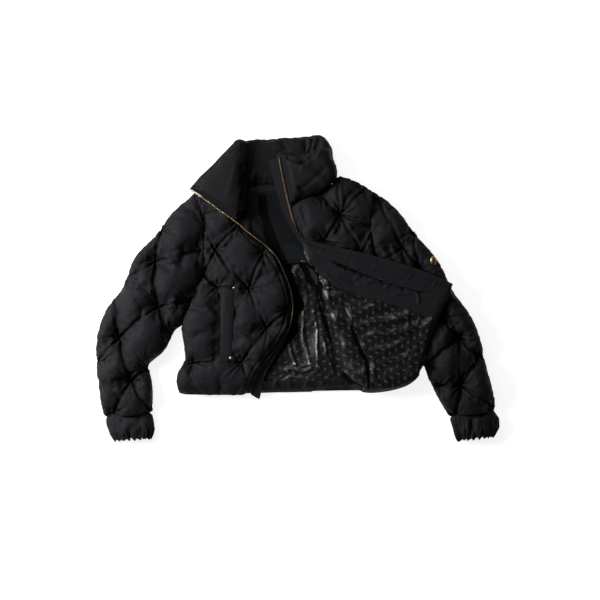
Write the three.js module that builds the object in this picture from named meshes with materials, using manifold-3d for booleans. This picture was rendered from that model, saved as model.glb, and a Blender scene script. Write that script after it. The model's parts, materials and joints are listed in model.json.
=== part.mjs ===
// A cropped puffer jacket laid on its back, seen from above with its collar towards +Y.
// The wearer's right is at -X. The wearer's left front is turned back over the left sleeve.
import * as THREE from "three";
import { mergeVertices } from "three/addons/utils/BufferGeometryUtils.js";
import Module from "manifold-3d";

// Driving dimensions, in millimetres
const GAP = 0.3; // between pieces that touch
const SEAM_EDGE = 7; // thickness of a padded piece at its sewn edge
const ROLL = 22; // width over which a padded edge rounds off
const DRAWN_IN = 3; // how far a panel's underside stands in from its edge
const BACK_PAD = 19; // thickness of the padded back
const BACK_ROLL = 12;
const SKIN_WALL = 1.5; // thickness of a lining or facing
const FRONT_BASE = 22; // height of the fronts' inner side above the surface
const FLAP_BASE = 46.5; // height of the turned-back front's outer side, which faces down
const FLAP_PAD = 12; // its thickness
const FLAP_ROLL = 14;
const FLAP_FOLD_BASE = 24; // height of its underside at the fold, where it joins the chest
const FLAP_FOOT = { base: 22.6, top: 35 }; // where the rolled lining meets the back
const FLAP_LIP = 7.5; // how far the placket stands past the padded edge
const FLAP_FOLD_SHARPNESS = 8; // how late its underside drops towards the fold
const FLAP_FOOT_CURVE = 1.5;
const FLAP_COLUMNS = { facing: 2, fold: 3 }; // counted along a row of FLAP
const PRESSED_TOP = 45.6; // highest point of what the turned-back front lies on
const PRESSED_EDGE = 6; // how far past its outline the front still presses
const PRESSED_SLOPE = 0.9; // rise beside a pressed place
const SLEEVE_SLIT = 2; // height of the flat hollow inside a sleeve
const SLEEVE_SLIT_SHARE = 0.8; // width of that hollow as a share of the sleeve's
const SLEEVE_SLIT_LEVEL = 0.34; // its height as a share of the sleeve's
const SLEEVE_WIDEST = 0.36; // where a sleeve is widest, as a share of its height
const SLEEVE_TOP_CURVE = 0.7;
const SLEEVE_UNDERSIDE = { reach: 2.4, curve: 0.6 };
const CUFF_GATHERS = { count: 11, depth: 0.1, turn: 3 };
const ARMHOLE_SEAM = 0.4; // between a sleeve's end and the body
const QUILT_LINE = { depth: 0.55, width: 13 };
const QUILT_TUFT = { depth: 0.35, width: 18 };
const COLLAR_LEFT_BASE = 24.6;
const NECK_FACING_SHARE = 0.36; // share of the back's length that the neck facing covers
const HEM_FACING_SHARE = 0.93; // share of the back's length where the hem facing starts
const ZIP_EDGE = 5.3; // from the middle of the teeth to the padded edge
const TEETH = { from: -1.6, to: 1.9, height: 2.6 };
const TAPE = { near: 2.2, far: 4.7, height: 1.2 };
const TURNED_ZIP = { level: 2.6, tape: [0.4, 1.9], teeth: [2.2, 5.7] }; // on the turned-back front
const PLACKET_WALL = 3;
const WELT_HEIGHT = 2.2;
const SNAP = { radius: 5, height: 2.4, taper: 0.8 };
const STUD = { radiusAcross: 7.5, radiusAlong: 12, height: 2.4, taper: 0.85 };
const SLIDER = { length: 11, width: 6.6, height: 4.6 };
const PULL = { ring: 5.6, wire: 1, barLength: 12, barWidth: 4, height: 44.8 };
const SLIDER_ROOM = 42.3; // highest point of the sleeve under the slider and its pull
const SLIDER_REACH = 22;
const STUD_LIFT = 1.9; // from the cloth to the stud's flat back
const END_EASE = 0.55; // how much closer together the steps near a panel's edges stand

// How fine each piece is: steps across and along
const BACK_STEPS = { across: [5, 10, 5], along: 22 };
const BACK_OPEN = [6, 16]; // the columns of the back that the open fronts show
const NECK_FACING_COLUMNS = [6, 12];
const RIGHT_FRONT_STEPS = { across: 20, along: 30 };
const CHEST_STEPS = { across: 14, along: 20 };
const FLAP_STEPS = { across: [3, 3, 6, 4], along: 20 };
const FLAP_SKIN_COLUMNS = { edge: 3, facing: 6, foot: 16 };
const FLAP_HEM_ROWS = 3;
const COLLAR_STEPS = { back: [8, 16], wing: [10, 14], left: [9, 10] };
const SLEEVE_STEPS = { along: 34, around: 24 };
const CUFF_STEPS = { along: 4, around: 44 };
const ZIP_STEPS = { left: 14, right: 42, placket: 16 };

// Sections of each piece, from one end to the other. Each end of a section is [x, y], or the y of
// a place on the sleeve's armhole.
const RIGHT_SLEEVE = [
  { outer: [-235, 218], inner: [-269, -80], bow: 34, crown: 36 },
  { outer: [-284, 182], inner: [-288, -94], bow: 24, crown: 50 },
  { outer: [-323, 128], inner: [-299, -119], bow: 12, crown: 58 },
  { outer: [-370, 78], inner: [-314, -143], bow: 4, crown: 62 },
  { outer: [-399, 8], inner: [-334, -159], bow: 0, crown: 62 },
  { outer: [-440, -50], inner: [-347, -172], bow: 0, crown: 62 },
  { outer: [-459, -106], inner: [-348, -182], bow: 0, crown: 60 },
  { outer: [-461, -166], inner: [-342, -197], bow: 0, crown: 58 },
  { outer: [-454, -235], inner: [-337, -235], bow: 0, crown: 54 },
  { outer: [-446, -290], inner: [-339, -281], bow: 0, crown: 40 },
];
const LEFT_SLEEVE = [
  { outer: [170, 230], inner: [216, -92], bow: -14, crown: 38 },
  { outer: [220, 191], inner: [230, -106], bow: -8, crown: 48 },
  { outer: [265, 133], inner: [244, -120], bow: -4, crown: 52 },
  { outer: [324, 60], inner: [260, -136], bow: 0, crown: 54 },
  { outer: [352, 0], inner: [274, -150], bow: 0, crown: 56 },
  { outer: [396, -62], inner: [285, -164], bow: 0, crown: 58 },
  { outer: [420, -125], inner: [294, -178], bow: 0, crown: 58 },
  { outer: [430, -172], inner: [306, -208], bow: 0, crown: 56 },
  { outer: [446, -230], inner: [325, -248], bow: 0, crown: 52 },
  { outer: [454, -276], inner: [350, -289], bow: 0, crown: 40 },
];
const RIGHT_CUFF = [
  { outer: [-446, -290.35], inner: [-339, -281.35], bow: 0, crown: 34 },
  { outer: [-443, -312], inner: [-333, -302], bow: 0, crown: 30 },
  { outer: [-436, -330], inner: [-333, -320], bow: 0, crown: 34 },
  { outer: [-427, -342], inner: [-340, -336], bow: 0, crown: 32 },
];
const LEFT_CUFF = [
  { outer: [454.05, -276.35], inner: [350.05, -289.35], bow: 0, crown: 34 },
  { outer: [461, -296], inner: [354, -308], bow: 0, crown: 30 },
  { outer: [460, -316], inner: [362, -328], bow: 0, crown: 34 },
  { outer: [450, -332], inner: [372, -341], bow: 0, crown: 32 },
];
const BACK = [
  { right: 216, neckRight: [-129, 230], neckLeft: [84, 245], left: 229 },
  { right: 160, neckRight: [-129, 168], neckLeft: [84, 182], left: 190 },
  { right: 100, neckRight: [-128, 110], neckLeft: [84, 122], left: 130 },
  { right: 40, neckRight: [-126, 50], neckLeft: [86, 62], left: 70 },
  { right: -20, neckRight: [-126, -10], neckLeft: [90, 0], left: 5 },
  { right: [-266, -82], neckRight: [-130, -72], neckLeft: [92, -66], left: [213, -94] },
  { right: [-261, -138], neckRight: [-130, -130], neckLeft: [92, -126], left: [221, -140] },
  { right: [-262, -172], neckRight: [-130, -168], neckLeft: [92, -166], left: [227, -175] },
  { right: [-276, -200], neckRight: [-134, -204], neckLeft: [92, -202], left: [232, -205] },
  { right: [-273, -236], neckRight: [-134, -239], neckLeft: [96, -231], left: [226, -232] },
];
// zip is a place along RIGHT_ZIP, counted in its rows
const RIGHT_FRONT = [
  { side: 216, neck: [-146, 206], pad: 11 },
  { side: 160, zip: 3.2, pad: 13 },
  { side: 110, zip: 4.2, pad: 18 },
  { side: 65, zip: 5.6, pad: 22 },
  { side: 10, zip: 7.2, pad: 24 },
  { side: -40, zip: 8.6, pad: 24 },
  { side: [-266, -84], zip: 9.8, pad: 24 },
  { side: [-261, -128], zip: 10.8, pad: 24 },
  { side: [-260, -165], zip: 12, pad: 24 },
  { side: [-274, -192], zip: 13, pad: 24 },
  { side: [-276, -215], zip: 13.7, pad: 22 },
  { side: [-270, -240], hem: [-121.5, -242], pad: 18 },
];
// zip is a place along LEFT_ZIP
const CHEST = [
  { front: [90, 252], side: 229, pad: 16 },
  { front: [58, 220], side: 190, pad: 20 },
  { front: [16, 207], side: 178, pad: 21 },
  { zip: 2.6, side: 160, pad: 22 },
  { zip: 3, side: 135, pad: 22 },
  { zip: 3.6, side: 105, pad: 22 },
  { front: [9, 116], side: 72, pad: 21 },
  { front: [24, 62], side: 20, pad: 20 },
  { front: [50, 12], side: -25, pad: 19 },
  { front: [72, -42], side: -62, pad: 18 },
  { front: [91, -86], side: -90, pad: 16 },
];
// The turned-back front, from the neck to the hem. Its columns run from the zip to the fold, and
// drop says how far the fold reaches down to the back.
const FLAP = [
  { edge: [4, 121], placket: [12, 101], facing: [15, 89], fold: [20, 76], foot: [9, 66], drop: 1 },
  { edge: [46, 108], placket: [44, 82], facing: [40, 48], fold: [50, 22], foot: [36, 10], drop: 1 },
  { edge: [103, 95], placket: [97, 60], facing: [70, 16], fold: [80, -50], foot: [58, -52], drop: 1 },
  { edge: [166, 80], placket: [156, 34], facing: [118, -8], fold: [110, -126], foot: [84, -126], drop: 1 },
  { edge: [235, 61], placket: [223, 10], facing: [189, -28], fold: [150, -208], foot: [124, -226], drop: 1 },
  { edge: [292, 41], placket: [281, -3], facing: [253, -48], fold: [205, -220], foot: [200, -230], drop: 1 },
  { edge: [326, 27], placket: [314, -13], facing: [298, -62], fold: [258, -198], foot: [262, -208], drop: 0.3 },
  { edge: [354, 14], placket: [344, -18], facing: [326, -52], fold: [288, -150], foot: [294, -156], drop: 0 },
];
const COLLAR_BACK = [
  { seam: [-172, 226], top: [-174, 290], pad: 33 },
  { seam: [-150, 230], top: [-152, 318], pad: 35 },
  { seam: [-129, 232.5], top: [-132, 338], pad: 34 },
  { seam: [-106, 234.5], top: [-110, 345], pad: 25 },
  { seam: [-62, 237.5], top: [-64, 348], pad: 22 },
  { seam: [-18, 240], top: [-18, 351], pad: 22 },
  { seam: [24, 243], top: [24, 354], pad: 23 },
  { seam: [62, 246.5], top: [54, 356], pad: 32 },
  { seam: [84, 252], top: [78, 324], pad: 36 },
];
// zip is a place along RIGHT_ZIP
const COLLAR_WING = [
  { zip: 0.1, top: [-242, 240], base: 38, pad: 9 },
  { zip: 1, top: [-214, 268], base: 37.5, pad: 16 },
  { zip: 2, top: [-174, 306], base: 37, pad: 20 },
  { zip: 2.4, top: [-163, 318], base: 36.5, pad: 21 },
  { zip: 2.75, top: [-151, 331], base: 36, pad: 21 },
  { seam: [-128, 178], top: [-134, 347], base: 30, pad: 24 },
  { seam: [-118, 196], top: [-118, 338], base: 25, pad: 24 },
];
// zip is a place along LEFT_ZIP
const COLLAR_LEFT = [
  { zip: 0, fold: [24, 307], pad: 20 },
  { zip: 0.35, fold: [66, 326], pad: 27 },
  { zip: 1, fold: [80, 299], pad: 31 },
  { zip: 1.6, fold: [90, 266], pad: 31 },
  { zip: 2.1, fold: [76, 246], pad: 26 },
  { zip: 2.35, fold: [50, 224], pad: 20 },
];
// The middle of the zip's teeth: place and height
const RIGHT_ZIP = [
  { x: -250, y: 231, z: 41 },
  { x: -212, y: 207, z: 41 },
  { x: -174, y: 179, z: 41 },
  { x: -141, y: 156, z: 39 },
  { x: -106, y: 126, z: 31 },
  { x: -70, y: 98, z: 27 },
  { x: -48, y: 73, z: 26.5 },
  { x: -31, y: 38, z: 26.5 },
  { x: -17, y: -1, z: 26.5 },
  { x: -12, y: -44, z: 26.5 },
  { x: -19, y: -83, z: 26.5 },
  { x: -40, y: -120, z: 26.5 },
  { x: -66, y: -154, z: 26.5 },
  { x: -92, y: -188, z: 26.5 },
  { x: -111, y: -228, z: 26.5 },
];
const RIGHT_ZIP_TURN = 3; // the row where the zip passes from the collar's edge to the front's
const LEFT_ZIP = [
  { x: -44, y: 304, z: 29 },
  { x: -36, y: 262, z: 29 },
  { x: -26, y: 216, z: 28.5 },
  { x: -15, y: 172, z: 27 },
  { x: -3, y: 136, z: 26.5 },
];
const LEFT_PLACKET_WIDTH = 25; // at the collar's top
const LEFT_PLACKET_END = 14; // its width at the neck
// The strip behind the right zip: its line, its height and how far it shows
const RIGHT_PLACKET = [
  { x: -14, y: -62, z: 22.8, width: 4 },
  { x: -32, y: -107, z: 22.8, width: 7 },
  { x: -63, y: -150, z: 22.8, width: 12 },
  { x: -90, y: -185, z: 22.8, width: 18 },
  { x: -109, y: -226, z: 22.8, width: 22 },
];
const POCKET = { left: -180, right: -144, top: 6, bottom: -154, level: 40, blend: 9, ease: 9 };
const WELT_CORNERS = [[-178, 5], [-144, 1], [-150, -150], [-179, -152]];
const SNAP_PLACES = [[-150.5, -3.5], [-156.5, -144.5]];
const STUD_PLACE = [309, 66];
const SLIDER_PLACE = [348, 4];
const PULL_PLACE = [346, -7];
const LABEL_CELLS = { rows: [7, 8], columns: [9, 10] };

// Quilting: each row is a tuft and the rows that a stitched line joins it to
const RIGHT_FRONT_QUILT = [
  { x: -225, y: 170, to: [1] },
  { x: -191, y: 91, to: [2, 3, 4] },
  { x: -140, y: 147, to: [] },
  { x: -218, y: 34, to: [] },
  { x: -113, y: 1, to: [1, 5, 6, 9] },
  { x: -80, y: 83, to: [] },
  { x: -72, y: -88, to: [7, 8] },
  { x: -23, y: -48, to: [] },
  { x: -130, y: -166, to: [10] },
  { x: -186, y: 6, to: [3] },
  { x: -240, y: -168, to: [] },
];
const RIGHT_SLEEVE_QUILT = [
  { x: -329, y: 64, to: [1, 5, 9] },
  { x: -323, y: -39, to: [2, 6, 10] },
  { x: -411, y: -110, to: [3, 7, 11] },
  { x: -383, y: -208, to: [4, 8, 12] },
  { x: -425, y: -283, to: [] },
  { x: -314, y: 138, to: [] },
  { x: -248, y: -28, to: [] },
  { x: -409, y: 5, to: [0] },
  { x: -347, y: -182, to: [] },
  { x: -225, y: 90, to: [] },
  { x: -290, y: -110, to: [] },
  { x: -460, y: -163, to: [] },
  { x: -340, y: -283, to: [] },
];
const CHEST_QUILT = [
  { x: 97, y: 172, to: [1, 2, 3, 4, 5, 6] },
  { x: 53, y: 216, to: [] },
  { x: 60, y: 113, to: [] },
  { x: 147, y: 85, to: [4, 2] },
  { x: 177, y: 143, to: [] },
  { x: 156, y: 235, to: [] },
  { x: 92, y: 262, to: [] },
];
const LEFT_SLEEVE_QUILT = [
  { x: 281, y: 51, to: [1, 2, 3] },
  { x: 241, y: 97, to: [4, 5] },
  { x: 262, y: 133, to: [] },
  { x: 370, y: -108, to: [6, 7, 8, 9] },
  { x: 184, y: 207, to: [] },
  { x: 180, y: 60, to: [] },
  { x: 375, y: -221, to: [10, 11, 12] },
  { x: 329, y: -64, to: [] },
  { x: 414, y: -154, to: [6] },
  { x: 298, y: -170, to: [6] },
  { x: 327, y: -220, to: [] },
  { x: 451, y: -271, to: [] },
  { x: 363, y: -290, to: [] },
];
// Folds of the loose lining: a line from a to b, its rise and half width
const BACK_FOLDS = [
  { a: [-8, 44], b: [28, -20], rise: 5, width: 9 },
  { a: [28, -20], b: [46, -145], rise: 6, width: 10 },
  { a: [46, -145], b: [40, -196], rise: 4, width: 10 },
  { a: [-8, -150], b: [18, -195], rise: 3, width: 8 },
];
const FLAP_FOLDS = [
  { a: [112, -76], b: [150, -160], rise: -4, width: 9 },
  { a: [70, -10], b: [150, -36], rise: 2.5, width: 12 },
  { a: [110, 22], b: [300, -24], rise: -2.5, width: 10 },
];

// Shared shapes

function smoothThrough(points) {
  const curve = new THREE.CatmullRomCurve3(points, false, "centripetal");
  return (t) => curve.getPoint(Math.min(Math.max(t, 0), 1));
}

// A smooth line through one end of each section. It takes 0 to 1 and gives a point in plan.
function edgeOf(rows, pick) {
  return smoothThrough(rows.map((row) => new THREE.Vector3(...pick(row), 0)));
}

// A smooth run of the numbers in one column.
function valueOf(rows, column) {
  const through = smoothThrough(rows.map((row, i) => new THREE.Vector3(i, row[column], 0)));
  return (t) => through(t).y;
}

// A body panel's side. Where it runs along a sleeve's open end, it keeps to that armhole.
function sideEdge(rows, column, sleeve, towardsBody) {
  const { outer, inner } = sleeve[0];
  const onArmhole = (y) => {
    const share = (y - outer[1]) / (inner[1] - outer[1]);
    return armholeAt(sleeve[0], share, towardsBody * ARMHOLE_SEAM);
  };
  const side = (row) => (Array.isArray(row[column]) ? row[column] : onArmhole(row[column]));
  const line = edgeOf(rows, side);
  return (v) => {
    const p = line(v);
    return p.y > inner[1] ? new THREE.Vector3(...onArmhole(p.y), 0) : p;
  };
}

// The padded edge beside a zip, at a place counted in the zip's rows.
function besideZip(zip, side) {
  const line = smoothThrough(zip.map((row) => new THREE.Vector3(row.x, row.y, 0)));
  return (place) => {
    const t = place / (zip.length - 1);
    const along = line(t + 0.005).sub(line(t - 0.005)).normalize();
    const p = line(t);
    return [p.x - along.y * side * ZIP_EDGE, p.y + along.x * side * ZIP_EDGE];
  };
}

// Part of the way from one number to another, and never past either.
function mix(from, to, share) {
  return from + (to - from) * Math.min(Math.max(share, 0), 1);
}

// A place on a sleeve's open end, or beside it on the body.
function armholeAt({ outer, inner, bow }, share, aside = 0) {
  const x = mix(outer[0], inner[0], share) + 4 * bow * share * (1 - share);
  return [x + aside, mix(outer[1], inner[1], share)];
}

// Steps from 0 to 1 that stand closer together near both ends.
function steps(count) {
  return Array.from({ length: count + 1 }, (_, i) => {
    const even = i / count;
    const eased = 0.5 - 0.5 * Math.cos(Math.PI * even);
    return mix(even, eased, END_EASE);
  });
}

function distanceToLine(x, y, a, b) {
  const dx = b[0] - a[0];
  const dy = b[1] - a[1];
  const share = ((x - a[0]) * dx + (y - a[1]) * dy) / (dx * dx + dy * dy);
  const t = Math.min(Math.max(share, 0), 1);
  return Math.hypot(x - a[0] - t * dx, y - a[1] - t * dy);
}

// How full the padding is at a point: 1 between the quilting, less on a stitched line or tuft.
function puffOf(quilt) {
  const place = ({ x, y }) => [x, y];
  const lines = quilt.flatMap((tuft) => tuft.to.map((end) => [place(tuft), place(quilt[end])]));
  return (x, y) => {
    const line = Math.min(...lines.map(([a, b]) => distanceToLine(x, y, a, b))) / QUILT_LINE.width;
    const tuft = Math.min(...quilt.map((q) => Math.hypot(x - q.x, y - q.y))) / QUILT_TUFT.width;
    return 1 - QUILT_LINE.depth * Math.exp(-line * line) - QUILT_TUFT.depth * Math.exp(-tuft * tuft);
  };
}

function foldsAt(folds, x, y) {
  return folds.reduce((rise, fold) => {
    const d = distanceToLine(x, y, fold.a, fold.b) / fold.width;
    return rise + fold.rise * Math.exp(-d * d);
  }, 0);
}

// Rounds off from 0 at a sewn edge to 1 at the given distance and more.
function roundOff(distance, width) {
  const s = Math.min(Math.max(distance / width, 0), 1);
  return Math.sqrt(1 - (1 - s) ** 2);
}

// Steps over several columns: counts holds the number of steps between each pair.
function acrossColumns(counts) {
  const within = (count, segment) => Array.from({ length: count }, (_, i) => [segment, i / count]);
  return [...counts.flatMap(within), [counts.length - 1, 1]];
}

function acrossOne(count) {
  return steps(count).map((share) => [0, share]);
}

// A grid of points in plan. Each point gets its height from height(point, v, column, distance),
// where distance is how far the point lies from the piece's edge.
function gridOf(edges, across, along, height) {
  const plan = along.map((v) => {
    const anchors = edges.map((edge) => edge(v));
    return across.map(([segment, share]) => anchors[segment].clone().lerp(anchors[segment + 1], share));
  });
  const ends = [plan[0], plan[plan.length - 1]];
  return plan.map((row, i) =>
    row.map((p, j) => {
      const sides = [row[0], row[row.length - 1]].map((q) => Math.hypot(p.x - q.x, p.y - q.y));
      const borders = ends.flatMap((border) =>
        border.slice(1).map((q, k) => distanceToLine(p.x, p.y, [border[k].x, border[k].y], [q.x, q.y])),
      );
      const [segment, share] = across[j];
      const distance = Math.min(...sides, ...borders);
      return new THREE.Vector3(p.x, p.y, height(p, along[i], segment + share, distance));
    }),
  );
}

// A closed mesh from faces, turned to face outwards.
function closed(vertices, faces) {
  const corner = ([a, b, c]) => vertices[a].clone().cross(vertices[b]).dot(vertices[c]);
  const volume = faces.reduce((sum, face) => sum + corner(face), 0);
  const places = vertices.flatMap((v) => v.toArray());
  const geometry = new THREE.BufferGeometry();
  geometry.setAttribute("position", new THREE.Float32BufferAttribute(places, 3));
  geometry.setIndex(faces.flatMap(([a, b, c]) => (volume < 0 ? [a, c, b] : [a, b, c])));
  return geometry;
}

// The points round a grid's rim, in order.
function rim(rows, columns, at) {
  const loop = [];
  for (let j = 0; j < columns - 1; j++) loop.push(at(0, j));
  for (let i = 0; i < rows - 1; i++) loop.push(at(i, columns - 1));
  for (let j = columns - 1; j > 0; j--) loop.push(at(rows - 1, j));
  for (let i = rows - 1; i > 0; i--) loop.push(at(i, 0));
  return loop;
}

// Two grids of points, one over the other, closed round the rim.
function betweenGrids(upper, lower) {
  const rows = upper.length;
  const columns = upper[0].length;
  const under = rows * columns;
  const at = (i, j) => i * columns + j;
  const faces = [];
  const quad = (a, b, c, d) => faces.push([a, b, c], [a, c, d]);
  for (let i = 0; i < rows - 1; i++) {
    for (let j = 0; j < columns - 1; j++) {
      quad(at(i, j), at(i, j + 1), at(i + 1, j + 1), at(i + 1, j));
      quad(under + at(i, j), under + at(i + 1, j), under + at(i + 1, j + 1), under + at(i, j + 1));
    }
  }
  const loop = rim(rows, columns, at);
  loop.forEach((a, k) => {
    const b = loop[(k + 1) % loop.length];
    quad(b, a, under + a, under + b);
  });
  return closed([...upper.flat(), ...lower.flat()], faces);
}

function planArea(vertices, [a, b, c]) {
  const ab = vertices[b].clone().sub(vertices[a]);
  const ac = vertices[c].clone().sub(vertices[a]);
  return ab.x * ac.y - ab.y * ac.x;
}

// A padded panel: a grid on top, and a flat underside drawn in a little from the edge.
function flatBottomed(upper, base, drawnIn) {
  const rows = upper.length;
  const columns = upper[0].length;
  const at = (i, j) => i * columns + j;
  const vertices = upper.flat();
  const faces = [];
  for (let i = 0; i < rows - 1; i++) {
    for (let j = 0; j < columns - 1; j++) {
      faces.push([at(i, j), at(i, j + 1), at(i + 1, j + 1)], [at(i, j), at(i + 1, j + 1), at(i + 1, j)]);
    }
  }
  const topSide = Math.sign(planArea(vertices, faces[0]));
  const loop = rim(rows, columns, at);
  const total = loop.reduce((sum, k) => sum.add(vertices[k]), new THREE.Vector3());
  const middle = total.divideScalar(loop.length);
  const start = vertices.length;
  for (const k of loop) {
    const inward = middle.clone().sub(vertices[k]).setZ(0).setLength(drawnIn);
    vertices.push(vertices[k].clone().add(inward).setZ(base));
  }
  loop.forEach((a, k) => {
    const next = (k + 1) % loop.length;
    faces.push([loop[next], a, start + k], [loop[next], start + k, start + next]);
  });
  const outline = vertices.slice(start).map((p) => new THREE.Vector2(p.x, p.y));
  for (const triangle of THREE.ShapeUtils.triangulateShape(outline, [])) {
    const face = triangle.map((k) => start + k);
    faces.push(Math.sign(planArea(vertices, face)) === topSide ? face.reverse() : face);
  }
  return closed(vertices, faces);
}

function raised(grid, by) {
  return grid.map((row) => row.map((p) => new THREE.Vector3(p.x, p.y, p.z + by)));
}

// A thin lining or facing over part of a panel's top, from the panel's own points moved up.
function skinOver(grid, [rowFrom, rowTo], [columnFrom, columnTo], lift = GAP, wall = SKIN_WALL) {
  const part = grid.slice(rowFrom, rowTo + 1).map((row) => row.slice(columnFrom, columnTo + 1));
  return betweenGrids(raised(part, lift + wall), raised(part, lift));
}

// A strip beside a line of points, from one distance to another on the line's left.
function strip(points, from, to, height) {
  const sections = points.map((p, i) => {
    const before = points[Math.max(i - 1, 0)];
    const after = points[Math.min(i + 1, points.length - 1)];
    const along = after.clone().sub(before).setZ(0).normalize();
    const left = new THREE.Vector3(-along.y, along.x, 0);
    return [from, to].map((d) => p.clone().addScaledVector(left, typeof d === "function" ? d(i) : d));
  });
  return betweenGrids(raised(sections, height / 2), raised(sections, -height / 2));
}

function pathOf(rows, count) {
  const through = smoothThrough(rows.map((row) => new THREE.Vector3(row.x, row.y, row.z)));
  return Array.from({ length: count + 1 }, (_, i) => through(i / count));
}

// A tube along its rings and the flat hollow inside it, open at both ends.
function openTube({ rings, hollow }) {
  const around = rings[0].length;
  const inside = rings.length * around;
  const faces = [];
  const quad = (corners, turned) => {
    const [a, b, c, d] = turned ? corners.reverse() : corners;
    faces.push([a, b, c], [a, c, d]);
  };
  const wrap = (start, count, turned) => {
    for (let i = 0; i < count - 1; i++) {
      for (let k = 0; k < around; k++) {
        const a = start + i * around + k;
        const b = start + i * around + ((k + 1) % around);
        quad([a, b, b + around, a + around], turned);
      }
    }
  };
  const end = (outer, inner, turned) => {
    for (let k = 0; k < around; k++) {
      const next = (k + 1) % around;
      quad([outer + next, outer + k, inner + k, inner + next], turned);
    }
  };
  wrap(0, rings.length, false);
  wrap(inside, hollow.length, true);
  end(0, inside, false);
  end((rings.length - 1) * around, inside + (hollow.length - 1) * around, true);
  return closed([...rings.flat(), ...hollow.flat()], faces);
}

// The rings of a sleeve or cuff: flat underneath, round at the sides, padded on top.
function tubeRings(rows, { along, around }, top) {
  const outer = edgeOf(rows, (row) => row.outer);
  const inner = edgeOf(rows, (row) => row.inner);
  const crown = valueOf(rows, "crown");
  const bow = valueOf(rows, "bow");
  const plan = (v, share) => {
    const section = { outer: outer(v).toArray(), inner: inner(v).toArray(), bow: bow(v) };
    return new THREE.Vector3(...armholeAt(section, share), 0);
  };
  const ringAt = (v, width, height) =>
    Array.from({ length: around }, (_, k) => {
      const angle = (2 * Math.PI * k) / around;
      const p = plan(v, 0.5 - 0.5 * width * Math.cos(angle));
      return new THREE.Vector3(p.x, p.y, height(p, angle, crown(v), v));
    });
  const outside = (p, angle, full, v) => {
    const widest = SLEEVE_WIDEST * full;
    const s = Math.abs(Math.sin(angle));
    if (angle <= Math.PI) return top(p, mix(widest, full, s ** SLEEVE_TOP_CURVE), widest, angle, v);
    return widest * (1 - Math.min(1, SLEEVE_UNDERSIDE.reach * s) ** SLEEVE_UNDERSIDE.curve);
  };
  const inside = (p, angle, full) => SLEEVE_SLIT_LEVEL * full + 0.5 * SLEEVE_SLIT * Math.sin(angle);
  const evenly = (n) => Array.from({ length: n + 1 }, (_, i) => i / n);
  return {
    rings: evenly(along).map((v) => ringAt(v, 1, outside)),
    hollow: evenly(Math.ceil(along / 4)).map((v) => ringAt(v, SLEEVE_SLIT_SHARE, inside)),
  };
}

// Joins closed meshes that overlap into one.
const wasm = await Module();
wasm.setup();

function toSolid(geometry) {
  const merged = mergeVertices(geometry, 1e-4);
  return new wasm.Manifold(
    new wasm.Mesh({
      numProp: 3,
      vertProperties: new Float32Array(merged.attributes.position.array),
      triVerts: new Uint32Array(merged.index.array),
    }),
  );
}

function joined(...geometries) {
  const mesh = geometries.map(toSolid).reduce((sum, solid) => sum.add(solid)).getMesh();
  const geometry = new THREE.BufferGeometry();
  geometry.setAttribute("position", new THREE.Float32BufferAttribute(mesh.vertProperties, 3));
  geometry.setIndex(Array.from(mesh.triVerts));
  return geometry;
}

// Materials
const finishes = {
  shell: { color: 0x1d1f24, roughness: 0.72, metalness: 0 },
  facing: { color: 0x24262b, roughness: 0.6, metalness: 0 },
  lining: { color: 0x2c2d31, roughness: 0.28, metalness: 0.1 },
  tape: { color: 0x141518, roughness: 0.85, metalness: 0 },
  gold: { color: 0xc59a5b, roughness: 0.3, metalness: 1 },
  label: { color: 0xb9c2cc, roughness: 0.7, metalness: 0 },
};

const jacket = new THREE.Group();

function addPiece(name, finish, geometry) {
  const mesh = new THREE.Mesh(geometry, new THREE.MeshStandardMaterial(finishes[finish]));
  mesh.name = name;
  jacket.add(mesh);
  return mesh;
}

// The turned-back front's outline, for what it presses on
const flapOutline = [...FLAP.map((row) => row.edge), ...FLAP.map((row) => row.foot).reverse()];

function distanceOutsideFlap(x, y) {
  let inside = false;
  let nearest = Infinity;
  flapOutline.forEach((a, k) => {
    const b = flapOutline[(k + 1) % flapOutline.length];
    nearest = Math.min(nearest, distanceToLine(x, y, a, b));
    if (a[1] > y !== b[1] > y && x < ((b[0] - a[0]) * (y - a[1])) / (b[1] - a[1]) + a[0]) inside = !inside;
  });
  return inside ? 0 : nearest;
}

// Lowers a height to what the turned-back front, and the slider under its corner, leave room for.
function pressed(p, z) {
  const toFront = distanceOutsideFlap(p.x, p.y);
  const underFront = PRESSED_TOP + PRESSED_SLOPE * Math.max(0, toFront - PRESSED_EDGE);
  const toSlider = Math.hypot(p.x - SLIDER_PLACE[0], p.y - SLIDER_PLACE[1]);
  const underSlider = SLIDER_ROOM + PRESSED_SLOPE * Math.max(0, toSlider - SLIDER_REACH);
  return Math.min(z, underFront, underSlider);
}

// Back: padding, with the folds of its loose lining where the fronts leave it open
const backGrid = gridOf(
  [
    sideEdge(BACK, "right", RIGHT_SLEEVE, 1),
    edgeOf(BACK, (row) => row.neckRight),
    edgeOf(BACK, (row) => row.neckLeft),
    sideEdge(BACK, "left", LEFT_SLEEVE, -1),
  ],
  acrossColumns(BACK_STEPS.across),
  steps(BACK_STEPS.along),
  (p, v, column, distance) =>
    mix(SEAM_EDGE, BACK_PAD, roundOff(distance, BACK_ROLL)) + foldsAt(BACK_FOLDS, p.x, p.y),
);
const backRow = (share) => Math.round(share * (backGrid.length - 1));
const neckRows = [1, backRow(NECK_FACING_SHARE)];
const hemRows = [backRow(HEM_FACING_SHARE), backGrid.length - 1];
addPiece("back", "shell", flatBottomed(backGrid, 0, DRAWN_IN));
addPiece("neck_facing", "facing", skinOver(backGrid, neckRows, NECK_FACING_COLUMNS));
addPiece("back_lining", "lining", skinOver(backGrid, [neckRows[1], hemRows[0]], BACK_OPEN));
addPiece("back_hem_facing", "facing", skinOver(backGrid, hemRows, BACK_OPEN));

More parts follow.
